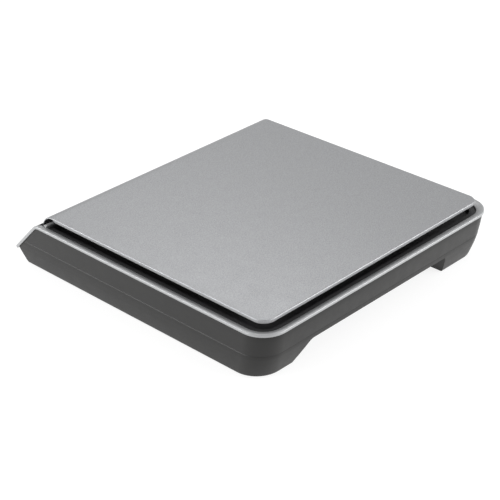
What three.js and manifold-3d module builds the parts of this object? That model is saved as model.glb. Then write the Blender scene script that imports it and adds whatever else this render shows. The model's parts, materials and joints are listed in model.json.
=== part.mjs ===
// A platform shipping scale: a low counter scale with a lift-off steel platter, a silver bezel
// that slopes down at the front to carry the display and keys, and a dark plastic base.
// Units are millimetres. +Z is up, -Y is the front. The origin lies on the surface that the
// scale stands on, under the middle of its footprint. Heights below are measured from the
// underside of the base, and the outer group raises everything by the height of the feet.

import * as THREE from "three";
import { mergeVertices } from "three/addons/utils/BufferGeometryUtils.js";
import Module from "manifold-3d";

// Overall sizes
const PLATTER_WIDTH = 320;
const PLATTER_TOP = 62;
const RIM_MARGIN = 11.25;
const BACK_Y = 179;
const NOSE_Y = -179;
const NOSE_Z = 16;
const CONSOLE_TOP_Y = -142.75;
const RIM_TOP = 52.9;
const RIM_BOTTOM = 50.3;
const FOOT_PROUD = 1.5;
const GAP = 0.3;

// Bezel
const SKIN = 3;
const REAR_RADIUS = 27;
const FRONT_RADIUS = 1.5;
const WELL_MARGIN = 3.8;
const WELL_FRONT_Y = -146.2;
const WELL_REAR_RADIUS = 22;
const WELL_WALL = 1.2;
const CROSS_WALL_Y = -132.2;
const CROSS_WALL_THICK = 4.5;
const SIDE_FRONT_Y = -131;
const REAR_HALF = 143;
const RIM_CHAMFER = 1.4;
const RIM_CHAMFER_WIDTH = 4.4;
const SLOT_FLOOR = 0.7;
const LEDGE_WIDTH = 6.5;
const LEDGE_TOP = 49.5;
const DECK_BOTTOM = 42.5;
const DECK_TOP = 44;
const FAR = 400;
const ABOVE = 100;

// Base
const WALL = 2.3;
const BASE_TIP = new THREE.Vector2(-175.2, 15.4);
const UNDERCUT_END = new THREE.Vector2(-166.7, 3);
const BASE_FRONT_CORNER_Y = -164.6;
const BASE_FRONT_Y = -162;
const RECESS_TOP = 20.5;
const RECESS_FRONT_Y = 128;
const RECESS_LEFT_X = -104;
const RECESS_RIGHT_X = 122.5;

// Platter and the parts that carry it
const SHEET = 1.2;
const EDGE_DROP = 3.75;
const BEND_RADIUS = 21;
const BEND_Y = -124;
const LIP_ANGLE = THREE.MathUtils.degToRad(74);
const PLATTER_CORNER = 13;
const SUPPORT_BOTTOM = 51.5;
const SUPPORT_TOP = 57.2;
const ARM_WIDTH = 22;
const CENTRE_Y = 12;
const PADS = [[-115, -85], [115, -85], [-115, 109], [115, 109]];
const STOPS = [[-92, -65], [92, -65], [-92, 89], [92, 89]];
const STOP_GAP = 0.7;

// Load cell
const CELL_HALF_LENGTH = 65;
const CELL_HALF_WIDTH = 15;
const CELL_BOTTOM = 16;
const CELL_TOP = 38;
const CELL_END = 30;
const CELL_CLEAR = 0.5;
const BOLT_RADIUS = 2.5;
const BOLT_HOLE = 2.9;
const BOLT_HEAD = 4.2;
const TOP_BOLT_YS = [-46, -30];
const BASE_BOLT_YS = [54, 70];

// Display panel, in the panel's own frame: x across, y up the slope, z out of the face
const WINDOW = { x: -40, y: -1, width: 80, height: 26 };
const KEY_XS = [36, 61, 86, 111];
const KEY_NAMES = ["power_key", "tare_key", "unit_key", "hold_key"];
const KEY_SIZE = { width: 18, height: 11, flange: 1, proud: 1.1 };
const BOARD_POSTS_X = [-88, 13, 126];

// Boards, battery bay and fixings
const MAIN_BOARD = { x0: 28, x1: 84, y0: 60, y1: 124, z0: 5, z1: 6.6 };
const LEAD_PLUG_X = MAIN_BOARD.x0 + 5.5;
const LEAD_PLUG_YS = [74, 88];
const LEAD_PLUG_TOP = 10.6;
const BATTERY_LEAD = { x: -62, z: 12, radius: 1.3 };
const CELL_LEAD = { y: 70, z: 24, radius: 1.6 };
const JACK_X = 44;
const JACK_HALF = 4.75;
const USB_X = 68;
const USB_HALF = 6;
const SOCKET_HEIGHT = 11;
const CELLS_X = [-96, -80.5, -65];
const CELL_RADIUS = 7.25;
const BAY = { x0: -104.4, x1: -56.6, y0: -62, y1: -4, top: 18.2 };
const DOOR = { x0: -107, x1: -54, y0: -65, y1: -1, z0: 0.3, z1: 2.0 };
const FEET = {
  front_left: [-146, -143],
  front_right: [146, -143],
  rear_left: [-146, 143],
  rear_right: [146, 143],
};
const FOOT_RADIUS = 9;
const FOOT_SEAT = 1.5;
const HOUSING_SCREWS = [[-159, -118], [159, -118], [-159, 0], [159, 0], [-159, 112], [159, 112]];
const HEAD_SINK = 3.2;
const SCREW_POST = { bottom: 6, radius: 4.5, bore: 1.8 };
const FLOOR_PAD_TOP = 5.5;

// Derived sizes
const HALF_WIDTH = PLATTER_WIDTH / 2 + RIM_MARGIN;
const PLATTER_BACK = BACK_Y - RIM_MARGIN;
const WELL_HALF = PLATTER_WIDTH / 2 + WELL_MARGIN;
const WELL_BACK = PLATTER_BACK + WELL_MARGIN;
const SLOPE = Math.atan2(RIM_TOP - NOSE_Z, CONSOLE_TOP_Y - NOSE_Y);
const CAP_INNER_Y = CONSOLE_TOP_Y + (SKIN - (RIM_TOP - RIM_BOTTOM) * Math.cos(SLOPE)) / Math.sin(SLOPE);

const wasm = await Module();
wasm.setup();

// ---- helpers: three.js geometry in, manifold solids for joins and cuts, geometry out ----

function solid(geometry) {
  const bare = geometry.clone();
  bare.deleteAttribute("normal");
  bare.deleteAttribute("uv");
  const merged = mergeVertices(bare, 1e-4);
  return new wasm.Manifold(new wasm.Mesh({
    numProp: 3,
    vertProperties: new Float32Array(merged.attributes.position.array),
    triVerts: new Uint32Array(merged.index.array),
  }));
}

function geometryOf(body) {
  const mesh = body.getMesh();
  const geometry = new THREE.BufferGeometry();
  geometry.setAttribute("position", new THREE.BufferAttribute(new Float32Array(mesh.vertProperties), 3));
  geometry.setIndex(new THREE.BufferAttribute(new Uint32Array(mesh.triVerts), 1));
  geometry.computeVertexNormals();
  return geometry;
}

function box(x0, x1, y0, y1, z0, z1) {
  const geometry = new THREE.BoxGeometry(x1 - x0, y1 - y0, z1 - z0);
  geometry.translate((x0 + x1) / 2, (y0 + y1) / 2, (z0 + z1) / 2);
  return solid(geometry);
}

function postGeometry(x, y, z0, z1, radius, sides = 16) {
  const geometry = new THREE.CylinderGeometry(radius, radius, z1 - z0, sides);
  geometry.rotateX(Math.PI / 2);
  geometry.translate(x, y, (z0 + z1) / 2);
  return geometry;
}

function post(x, y, z0, z1, radius, sides) {
  return solid(postGeometry(x, y, z0, z1, radius, sides));
}

function extrude(shape, depth) {
  return new THREE.ExtrudeGeometry(shape, { depth, bevelEnabled: false, curveSegments: 4 });
}

// A (y, z) outline drawn out along X from x0 to x1.
function alongX(shape, x0, x1) {
  const turn = new THREE.Matrix4().makeBasis(
    new THREE.Vector3(0, 1, 0), new THREE.Vector3(0, 0, 1), new THREE.Vector3(1, 0, 0));
  return solid(extrude(shape, x1 - x0).applyMatrix4(turn).translate(x0, 0, 0));
}

// An (x, z) outline drawn out along Y from y0 to y1.
function alongY(shape, y0, y1) {
  const turn = new THREE.Matrix4().makeBasis(
    new THREE.Vector3(1, 0, 0), new THREE.Vector3(0, 0, 1), new THREE.Vector3(0, -1, 0));
  return solid(extrude(shape, y1 - y0).applyMatrix4(turn).translate(0, y1, 0));
}

// An (x, y) outline drawn up from z0 to z1.
function alongZ(shape, z0, z1) {
  return solid(extrude(shape, z1 - z0).translate(0, 0, z0));
}

// A rectangle in plan with one radius at the two rear corners and another at the two front ones.
function plan(half, front, back, rearRadius, frontRadius) {
  const shape = new THREE.Shape();
  shape.absarc(half - frontRadius, front + frontRadius, frontRadius, -Math.PI / 2, 0);
  shape.absarc(half - rearRadius, back - rearRadius, rearRadius, 0, Math.PI / 2);
  shape.absarc(rearRadius - half, back - rearRadius, rearRadius, Math.PI / 2, Math.PI);
  shape.absarc(frontRadius - half, front + frontRadius, frontRadius, Math.PI, Math.PI * 1.5);
  return shape;
}

// A closed solid through a stack of plan outlines that all have the same number of points.
function loft(levels) {
  const rings = levels.map(({ shape }) => shape.getPoints(4));
  const count = rings[0].length;
  const positions = [];
  const index = [];
  rings.forEach((ring, level) => ring.forEach((point) => positions.push(point.x, point.y, levels[level].z)));
  for (let level = 0; level + 1 < rings.length; level += 1) {
    for (let i = 0; i < count; i += 1) {
      const a = level * count + i;
      const b = level * count + (i + 1) % count;
      index.push(a, b, b + count, a, b + count, a + count);
    }
  }
  const last = (rings.length - 1) * count;
  for (let i = 1; i + 1 < count; i += 1) {
    index.push(0, i + 1, i);
    index.push(last, last + i, last + i + 1);
  }
  const geometry = new THREE.BufferGeometry();
  geometry.setAttribute("position", new THREE.Float32BufferAttribute(positions, 3));
  geometry.setIndex(index);
  return solid(geometry);
}

function disc(u, v, radius) {
  return new THREE.Shape().absarc(u, v, radius, 0, Math.PI * 2);
}

function cut(body, tools) {
  return tools.reduce((rest, tool) => rest.subtract(tool), body);
}

function join(bodies) {
  return bodies.reduce((whole, body) => whole.add(body));
}

// ---- materials ----

const FINISH = {
  silver: { color: 0xc4c6c8, roughness: 0.42, metalness: 0.55 },
  steel: { color: 0xa9acae, roughness: 0.38, metalness: 0.85 },
  charcoal: { color: 0x4a4b4c, roughness: 0.55, metalness: 0.0 },
  black: { color: 0x151516, roughness: 0.6, metalness: 0.0 },
  aluminium: { color: 0xb9bcbe, roughness: 0.45, metalness: 0.9 },
  rubber: { color: 0x1d1d1e, roughness: 0.85, metalness: 0.0 },
  zinc: { color: 0x9a9d9f, roughness: 0.35, metalness: 0.9 },
  board: { color: 0x1f5a3a, roughness: 0.5, metalness: 0.0 },
  glass: { color: 0x22282a, roughness: 0.1, metalness: 0.0 },
  lcd: { color: 0x9aa58f, roughness: 0.3, metalness: 0.0 },
  key: { color: 0x3a3b3d, roughness: 0.6, metalness: 0.0 },
  cell: { color: 0x2f3b52, roughness: 0.4, metalness: 0.2 },
  ribbon: { color: 0xb7b9ba, roughness: 0.6, metalness: 0.0 },
};

function part(name, shape, finish) {
  const geometry = shape.isBufferGeometry ? shape : geometryOf(shape);
  const mesh = new THREE.Mesh(geometry, new THREE.MeshStandardMaterial(FINISH[finish]));
  mesh.name = name;
  return mesh;
}

// ---- the sloping panel's own frame ----

const panel = new THREE.Group();
panel.position.set(0, (NOSE_Y + WELL_FRONT_Y) / 2, 0);
panel.position.z = NOSE_Z + (panel.position.y - NOSE_Y) * Math.tan(SLOPE);
panel.rotation.x = SLOPE;
panel.updateMatrix();

function onPanel(body) {
  const mesh = geometryOf(body);
  return solid(mesh.applyMatrix4(panel.matrix));
}

// ---- bezel ----

// The outer side line of the whole bezel, from the nose up the slope and back along the rim.
function traceRim(shape, drop) {
  const along = drop * Math.tan(SLOPE / 2);
  const radius = 6 - drop;
  const reach = radius * Math.tan(SLOPE / 2);
  const corner = new THREE.Vector2(CONSOLE_TOP_Y + along, RIM_TOP - drop);
  const centre = new THREE.Vector2(corner.x + reach, corner.y - radius);
  shape.absarc(centre.x, centre.y, radius, Math.PI / 2 + SLOPE, Math.PI / 2, true);
  shape.lineTo(BACK_Y + 1, RIM_TOP - drop);
}

function capProfile() {
  const shape = new THREE.Shape();
  shape.moveTo(BACK_Y + 1, RIM_BOTTOM);
  shape.lineTo(CAP_INNER_Y, RIM_BOTTOM);
  shape.lineTo(BASE_TIP.x, BASE_TIP.y + GAP);
  shape.lineTo(NOSE_Y, NOSE_Z);
  traceRim(shape, 0);
  return shape;
}

// Everything under the bezel's outer surface, used to trim what is joined to the skin.
function underSkin() {
  const shape = new THREE.Shape();
  shape.moveTo(BACK_Y + 1, 0);
  shape.lineTo(NOSE_Y + SKIN, 0);
  shape.lineTo(NOSE_Y + SKIN, NOSE_Z + 2);
  traceRim(shape, 1);
  return alongX(shape, -HALF_WIDTH, HALF_WIDTH);
}

function rimPlan(inset) {
  return plan(HALF_WIDTH - inset, NOSE_Y + inset, BACK_Y - inset, REAR_RADIUS - inset, FRONT_RADIUS - inset);
}

function wellPlan(grow) {
  const rear = WELL_REAR_RADIUS + grow;
  return plan(WELL_HALF + grow, WELL_FRONT_Y - grow, WELL_BACK + grow, rear, 2.5 + grow);
}

function bezelShell() {
  const rounded = loft([
    { z: 5, shape: rimPlan(0) },
    { z: RIM_TOP - 1.3, shape: rimPlan(0) },
    { z: RIM_TOP - 0.4, shape: rimPlan(0.4) },
    { z: RIM_TOP, shape: rimPlan(1.4) },
    { z: RIM_TOP + 1, shape: rimPlan(1.4) },
  ]);
  return alongX(capProfile(), -HALF_WIDTH - 1, HALF_WIDTH + 1).intersect(rounded);
}

// The wall round the well that the platter hangs over, the cross wall under the platter's front
// edge, and the floor of the narrow slot that its rolled lip drops into.
function well() {
  const low = DECK_TOP + GAP;
  const ring = alongZ(wellPlan(WELL_WALL), low, RIM_TOP - 1.5).subtract(alongZ(wellPlan(0), 0, ABOVE));
  const slotFloor = box(-WELL_HALF, WELL_HALF, WELL_FRONT_Y - 1, CROSS_WALL_Y, low, low + SLOT_FLOOR);
  const crossWall = box(-WELL_HALF - 1, WELL_HALF + 1, CROSS_WALL_Y - CROSS_WALL_THICK, CROSS_WALL_Y,
    low, RIM_TOP);
  return join([ring, slotFloor, crossWall]).intersect(underSkin());
}

function bezelBody() {
  const bevel = loft([
    { z: RIM_TOP - RIM_CHAMFER, shape: wellPlan(0) },
    { z: RIM_TOP, shape: wellPlan(RIM_CHAMFER_WIDTH) },
    { z: RIM_TOP + 1, shape: wellPlan(RIM_CHAMFER_WIDTH) },
  ]);
  const opening = alongZ(wellPlan(0), 0, ABOVE);
  const boardPosts = BOARD_POSTS_X.map((x) => onPanel(post(x, 0, -7.3, -SKIN + 0.5, 3.5, 12)));
  const boardHoles = BOARD_POSTS_X.map((x) => onPanel(post(x, 0, -8, -3.5, 1.5, 10)));
  const windowHole = onPanel(box(WINDOW.x - WINDOW.width / 2, WINDOW.x + WINDOW.width / 2,
    WINDOW.y - WINDOW.height / 2, WINDOW.y + WINDOW.height / 2, -8, 3));
  const keyHoles = KEY_XS.map((x) => onPanel(box(x - KEY_SIZE.width / 2, x + KEY_SIZE.width / 2,
    -KEY_SIZE.height / 2, KEY_SIZE.height / 2, -5, 3)));
  const shell = cut(bezelShell(), [opening, bevel]);
  const whole = join([shell, well(), ...boardPosts]);
  return cut(whole, [...boardHoles, windowHole, ...keyHoles]);
}

// The bezel is one moulding on the real scale. It is held here as four lengths with a hair gap
// between them, so that each is close to convex and the well between them stays open.
function bezelLengths() {
  const body = bezelBody();
  const split = GAP / 2;
  const sideFront = SIDE_FRONT_Y + split;
  const regions = {
    top_bezel_front: box(-FAR, FAR, -FAR, SIDE_FRONT_Y - split, 0, ABOVE),
    top_bezel_rear: box(-REAR_HALF + split, REAR_HALF - split, ABOVE, FAR, 0, ABOVE),
    top_bezel_left: box(-FAR, -REAR_HALF - split, sideFront, FAR, 0, ABOVE),
    top_bezel_right: box(REAR_HALF + split, FAR, sideFront, FAR, 0, ABOVE),
  };
  return Object.entries(regions).map(([name, region]) => part(name, body.intersect(region), "silver"));
}

// ---- base ----

// The base's walls lean in towards the floor, the rear wall more than the sides.
function basePlan(z, wall) {
  const depth = Math.max(RIM_BOTTOM - z, 0);
  const side = 0.7 + 0.0013 * depth ** 2 + wall;
  const rear = 1 + 0.1 * depth + 0.003 * depth ** 2 + wall;
  return plan(HALF_WIDTH - side, BASE_TIP.x + wall, BACK_Y - rear, REAR_RADIUS - wall, FRONT_RADIUS);
}

function baseProfile() {
  const shape = new THREE.Shape();
  const normalGap = GAP / Math.sin(SLOPE);
  shape.moveTo(BACK_Y, 0);
  shape.lineTo(BACK_Y, RIM_BOTTOM - GAP);
  shape.lineTo(CAP_INNER_Y + normalGap, RIM_BOTTOM - GAP);
  shape.lineTo(BASE_TIP.x + normalGap, BASE_TIP.y);
  shape.lineTo(UNDERCUT_END.x, UNDERCUT_END.y);
  shape.quadraticCurveTo(BASE_FRONT_CORNER_Y, 0, BASE_FRONT_Y, 0);
  return shape;
}

// The side view of the space inside the base, open at the top.
function cavityProfile() {
  const shape = new THREE.Shape();
  shape.moveTo(BACK_Y, WALL);
  shape.lineTo(BACK_Y, 60);
  shape.lineTo(-150, 60);
  shape.lineTo(-182, 26);
  shape.lineTo(-171.6, 15.6);
  shape.lineTo(UNDERCUT_END.x + WALL, UNDERCUT_END.y + 2);
  shape.quadraticCurveTo(BASE_FRONT_CORNER_Y + 2, WALL, BASE_FRONT_Y + 2, WALL);
  return shape;
}

// The cable recess under the rear edge: steep at its left end and splayed at its right end.
function recessShape(grow) {
  const shape = new THREE.Shape();
  shape.moveTo(RECESS_LEFT_X - grow, -1);
  shape.lineTo(RECESS_RIGHT_X + grow, -1);
  shape.lineTo(RECESS_RIGHT_X - 17 + grow, RECESS_TOP - 3 + grow);
  shape.lineTo(RECESS_RIGHT_X - 21 + grow, RECESS_TOP + grow);
  shape.lineTo(RECESS_LEFT_X + 6.5 - grow, RECESS_TOP + grow);
  shape.lineTo(RECESS_LEFT_X + 3.5 - grow, RECESS_TOP - 3 + grow);
  return shape;
}

function housingShell() {
  const levels = [0, 1.2, 8, 16, 26, 38, RIM_BOTTOM];
  const cavityLevels = [WALL, 16, 26, 38, 60];
  const outerLoft = loft(levels.map((z) => ({ z, shape: basePlan(z, z === 0 ? 0.9 : 0) })));
  const innerLoft = loft(cavityLevels.map((z) => ({ z, shape: basePlan(z, WALL) })));
  const outer = alongX(baseProfile(), -HALF_WIDTH, HALF_WIDTH).intersect(outerLoft);
  const cavity = alongX(cavityProfile(), -HALF_WIDTH, HALF_WIDTH).intersect(innerLoft);
  const recessWalls = alongY(recessShape(WALL), RECESS_FRONT_Y - WALL, BACK_Y + 5);
  const bayWalls = box(DOOR.x0 - 3, DOOR.x1 + 3, DOOR.y0 - 3.5, DOOR.y1 + 3, 0, BAY.top + 2);
  return outer.subtract(cut(cavity, [recessWalls, bayWalls]));
}

function housingPosts() {
  const [boltFront, boltRear] = BASE_BOLT_YS;
  const cellPad = box(-20, 20, boltFront - 12, boltRear + 12, 1, FLOOR_PAD_TOP);
  const stopPosts = STOPS.map(([x, y]) => post(x, y, 1, 38, 5.5));
  const screwPads = HOUSING_SCREWS.map(([x, y]) => post(x, y, 1, SCREW_POST.bottom - GAP, 5.5));
  const boardXs = [MAIN_BOARD.x0 + 4, MAIN_BOARD.x1 - 4];
  const boardYs = [MAIN_BOARD.y0 + 4, MAIN_BOARD.y1 - 12];
  const boardPads = boardXs.flatMap((x) => boardYs.map((y) => post(x, y, 1, MAIN_BOARD.z0 - GAP, 3, 12)));
  return [cellPad, ...stopPosts, ...screwPads, ...boardPads];
}

function socketHole(x, half) {
  const clear = 0.3;
  const low = MAIN_BOARD.z1 + GAP - clear;
  return box(x - half - clear, x + half + clear, RECESS_FRONT_Y - WALL - 1, RECESS_FRONT_Y + 1,
    low, low + SOCKET_HEIGHT + 2 * clear);
}

function housingHoles() {
  const below = -1;
  return [
    alongY(recessShape(0), RECESS_FRONT_Y, BACK_Y + 5),
    box(BAY.x0, BAY.x1, BAY.y0, BAY.y1, below, BAY.top),
    box(DOOR.x0 - 0.4, DOOR.x1 + 0.4, DOOR.y0 - 1, DOOR.y1 + 0.4, below, WALL),
    ...HOUSING_SCREWS.map(([x, y]) => post(x, y, below, HEAD_SINK, 3.6)),
    ...HOUSING_SCREWS.map(([x, y]) => post(x, y, 0, 7, SCREW_POST.bore, 12)),
    ...BASE_BOLT_YS.map((y) => post(0, y, below, HEAD_SINK, BOLT_HEAD + 0.6)),
    ...BASE_BOLT_YS.map((y) => post(0, y, 0, 7, BOLT_HOLE, 12)),
    ...STOPS.map(([x, y]) => post(x, y, 26, 39, BOLT_HOLE, 12)),
    ...Object.values(FEET).map(([x, y]) => post(x, y, below, FOOT_SEAT, FOOT_RADIUS + GAP, 24)),
    alongY(disc(BATTERY_LEAD.x, BATTERY_LEAD.z, BATTERY_LEAD.radius + 0.5), BAY.y1 - 1, DOOR.y1 + 4),
    socketHole(JACK_X, JACK_HALF),
    socketHole(USB_X, USB_HALF),
  ];
}

function lowerHousing() {
  const whole = join([housingShell(), ...housingPosts()]);
  return part("lower_housing", cut(whole, housingHoles()), "charcoal");
}

function foot(name, [x, y]) {
  const top = FOOT_SEAT - GAP;
  const outline = [[0, -FOOT_PROUD], [FOOT_RADIUS - 1, -FOOT_PROUD], [FOOT_RADIUS, -FOOT_PROUD + 0.9],
    [FOOT_RADIUS, top], [0, top]].map(([r, z]) => new THREE.Vector2(r, z));
  const geometry = new THREE.LatheGeometry(outline, 24).rotateX(Math.PI / 2).translate(x, y, 0);
  return part(`foot_${name}`, solid(geometry), "rubber");
}

const HEAD_HEIGHT = 2.4;

// A screw or bolt whose slotted head starts at height z0. A negative length points it down.
function fastener(name, x, y, z0, length, head, shank) {
  const way = Math.sign(length);
  const neck = z0 + way * HEAD_HEIGHT;
  const headBody = upright(x, y, z0, neck, head, 16);
  const shankBody = upright(x, y, neck - way * 0.5, z0 + length, shank, 12);
  const slot = box(x - head, x + head, y - 0.5, y + 0.5, z0 - 1, z0 + 1);
  return part(name, headBody.add(shankBody).subtract(slot), "zinc");
}

function upright(x, y, from, to, radius, sides) {
  return post(x, y, Math.min(from, to), Math.max(from, to), radius, sides);
}

// ---- platter, its support, and the load cell ----

// The band between the platter's top surface and a surface under it, bent down at the front.
function platterBand(thickness) {
  const shape = new THREE.Shape();
  const centreZ = PLATTER_TOP - BEND_RADIUS;
  shape.moveTo(PLATTER_BACK, PLATTER_TOP);
  shape.lineTo(BEND_Y, PLATTER_TOP);
  shape.absarc(BEND_Y, centreZ, BEND_RADIUS, Math.PI / 2, Math.PI / 2 + LIP_ANGLE);
  shape.absarc(BEND_Y, centreZ, BEND_RADIUS - thickness, Math.PI / 2 + LIP_ANGLE, Math.PI / 2, true);
  shape.lineTo(PLATTER_BACK, PLATTER_TOP - thickness);
  return shape;
}

function platterPlan(inset) {
  const radius = PLATTER_CORNER - inset;
  return plan(PLATTER_WIDTH / 2 - inset, WELL_FRONT_Y, PLATTER_BACK - inset, radius, 0.4);
}

function platter() {
  const half = PLATTER_WIDTH / 2;
  const sheet = alongX(platterBand(SHEET), -half, half);
  const deep = alongX(platterBand(EDGE_DROP), -half, half);
  const edge = deep.subtract(alongZ(platterPlan(SHEET), 0, 80));
  return part("platter", join([sheet, edge]).intersect(alongZ(platterPlan(0), 0, 80)), "steel");
}

function platterSupport() {
  const span = new THREE.Vector2(PADS[3][0] - PADS[0][0], PADS[3][1] - PADS[0][1]);
  const bars = [1, -1].map((side) => {
    const bar = new THREE.BoxGeometry(span.length(), ARM_WIDTH, SUPPORT_TOP - SUPPORT_BOTTOM);
    bar.rotateZ(side * span.angle());
    bar.translate(0, CENTRE_Y, (SUPPORT_TOP + SUPPORT_BOTTOM) / 2);
    return solid(bar);
  });
  const ends = PADS.map(([x, y]) => post(x, y, SUPPORT_BOTTOM, SUPPORT_TOP, 14, 24));
  const hub = box(-34, 34, CENTRE_Y - 34, CENTRE_Y + 34, SUPPORT_BOTTOM, SUPPORT_TOP);
  const spine = box(-20, 20, CENTRE_Y - CELL_HALF_LENGTH - 4, CENTRE_Y, SUPPORT_BOTTOM, SUPPORT_TOP);
  const holes = TOP_BOLT_YS.map((y) => post(0, y, SUPPORT_BOTTOM - 1, SUPPORT_TOP + 1, BOLT_HOLE, 12));
  const sinks = TOP_BOLT_YS.map((y) => post(0, y, SUPPORT_TOP - 3, SUPPORT_TOP + 1, BOLT_HEAD + 0.4));
  const cross = join([...bars, ...ends, hub, spine]);
  return part("platter_support", cut(cross, [...holes, ...sinks]), "aluminium");
}

function supportPad([x, y], number) {
  return part(`support_pad_${number + 1}`, solid(postGeometry(x, y, SUPPORT_TOP + GAP,
    PLATTER_TOP - SHEET - GAP, 8, 24)), "rubber");
}

function loadCell() {
  const front = CENTRE_Y - CELL_HALF_LENGTH;
  const back = CENTRE_Y + CELL_HALF_LENGTH;
  const bar = box(-CELL_HALF_WIDTH, CELL_HALF_WIDTH, front, back, CELL_BOTTOM, CELL_TOP);
  const middle = (CELL_BOTTOM + CELL_TOP) / 2;
  const eyes = [-8, 8].map((offset) => {
    const eye = new THREE.CylinderGeometry(8, 8, CELL_HALF_WIDTH * 2 + 2, 24);
    return solid(eye.rotateZ(Math.PI / 2).translate(0, CENTRE_Y + offset, middle));
  });
  return part("load_cell", cut(bar, [
    ...eyes,
    ...TOP_BOLT_YS.map((y) => post(0, y, 24, CELL_TOP + 1, BOLT_HOLE, 12)),
    ...BASE_BOLT_YS.map((y) => post(0, y, CELL_BOTTOM - 1, 30, BOLT_HOLE, 12)),
  ]), "aluminium");
}

function spacer(name, y0, z0, z1, boltYs) {
  const block = box(-CELL_HALF_WIDTH, CELL_HALF_WIDTH, y0, y0 + CELL_END, z0, z1);
  const holes = boltYs.map((y) => post(0, y, z0 - 1, z1 + 1, BOLT_HOLE, 12));
  return part(name, cut(block, holes), "zinc");
}

function overloadStop([x, y], number) {
  const top = SUPPORT_BOTTOM - STOP_GAP;
  const head = post(x, y, top - 6, top, 4.5, 6);
  const stem = post(x, y, 28, top - 5, 2.5, 12);
  return part(`overload_stop_${number + 1}`, head.add(stem), "zinc");
}

// The raised border of the black tray, just inside the bezel's well.
function deckLedge() {
  const front = CROSS_WALL_Y + GAP;
  const ring = (inset, y) => plan(WELL_HALF - inset, y, WELL_BACK - inset, WELL_REAR_RADIUS - inset, 2);
  const low = DECK_BOTTOM + 0.5;
  const thick = 1.5;
  const inside = alongZ(ring(LEDGE_WIDTH, front + thick), 0, ABOVE);
  const border = alongZ(ring(GAP, front), low, LEDGE_TOP).subtract(inside);
  const frontWall = box(3 - WELL_HALF, WELL_HALF - 3, front, front + thick, low, RIM_TOP - 1.2);
  return border.add(frontWall);
}

// The black tray under the platter. Its posts take the screws that hold the base on.
function deckCover() {
  const overlap = 0.2;
  const sheet = alongZ(plan(WELL_HALF + overlap, WELL_FRONT_Y + 2, WELL_BACK + overlap,
    WELL_REAR_RADIUS + overlap, 2), DECK_BOTTOM, DECK_TOP);
  const { bottom, radius, bore } = SCREW_POST;
  const screwPosts = HOUSING_SCREWS.map(([x, y]) => post(x, y, bottom, DECK_BOTTOM + 0.5, radius));
  const screwHoles = HOUSING_SCREWS.map(([x, y]) => post(x, y, bottom - 1, 22, bore, 12));
  const cellSlot = box(-20, 20, -60, -16, 0, ABOVE);
  const stopHoles = STOPS.map(([x, y]) => post(x, y, 0, ABOVE, 6));
  const tray = join([sheet, deckLedge(), ...screwPosts]);
  return part("deck_cover", cut(tray, [cellSlot, ...stopHoles, ...screwHoles]), "black");
}

// ---- display panel pieces, placed in the panel's frame ----

function displayWindow() {
  return part("display_window", box(WINDOW.x - WINDOW.width / 2 + GAP, WINDOW.x + WINDOW.width / 2 - GAP,
    WINDOW.y - WINDOW.height / 2 + GAP, WINDOW.y + WINDOW.height / 2 - GAP, -2.8, -0.4), "glass");
}

function lcdModule() {
  const margin = 2.5;
  return part("lcd_module", box(WINDOW.x - WINDOW.width / 2 - margin, WINDOW.x + WINDOW.width / 2 + margin,
    WINDOW.y - WINDOW.height / 2 - margin, WINDOW.y + WINDOW.height / 2 + margin - 1.5, -7.3, -3.3), "lcd");
}

function key(x, number) {
  const half = KEY_SIZE.width / 2 - 0.35;
  const tall = KEY_SIZE.height / 2 - 0.35;
  const cap = box(x - half, x + half, -tall, tall, -4, KEY_SIZE.proud);
  const flange = box(x - half - KEY_SIZE.flange, x + half + KEY_SIZE.flange,
    -tall - KEY_SIZE.flange, tall + KEY_SIZE.flange, -4.6, -SKIN - GAP);
  return part(KEY_NAMES[number], cap.add(flange), "key");
}

function keypad() {
  const first = KEY_XS[0] - KEY_SIZE.width / 2 - 4;
  const last = KEY_XS[KEY_XS.length - 1] + KEY_SIZE.width / 2 + 2;
  return part("keypad_membrane", box(first, last, -8, 8, -7.3, -5.9), "rubber");
}

function displayBoard() {
  const sheet = box(-94, 132, -17, 14, -9.2, -7.6);
  const holes = BOARD_POSTS_X.map((x) => post(x, 0, -10, -7, 1.6, 12));
  return part("display_board", cut(sheet, holes), "board");
}

// ---- electronics and battery bay in the base ----

function mainBoard() {
  const { x0, x1, y0, y1, z0, z1 } = MAIN_BOARD;
  const sheet = box(x0, x1, y0, y1, z0, z1);
  const chip = box(x0 + 14, x0 + 30, y0 + 18, y0 + 34, z1 - 0.1, z1 + 1.8);
  const header = box(x0 + 12, x0 + 34, y0 + 2, y0 + 8, z1 - 0.1, z1 + 1.6);
  const capacitor = post(x1 - 10, y0 + 26, z1 - 0.1, z1 + 9, 4);
  const plugs = LEAD_PLUG_YS.map((y) => box(x0 + 2, x0 + 9, y - 3.5, y + 3.5, z1 - 0.1, LEAD_PLUG_TOP));
  return part("main_board", join([sheet, chip, header, capacitor, ...plugs]), "board");
}

function powerJack() {
  const z0 = MAIN_BOARD.z1 + GAP;
  const z1 = z0 + SOCKET_HEIGHT;
  const y1 = RECESS_FRONT_Y - 0.4;
  const body = box(JACK_X - JACK_HALF, JACK_X + JACK_HALF, y1 - 14, y1, z0, z1);
  const mouth = new THREE.CylinderGeometry(3.2, 3.2, 12, 16).translate(JACK_X, y1 - 4, (z0 + z1) / 2);
  const pin = new THREE.CylinderGeometry(1, 1, 10, 10).translate(JACK_X, y1 - 6, (z0 + z1) / 2);
  return part("power_jack", body.subtract(solid(mouth)).add(solid(pin)), "black");
}

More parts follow.
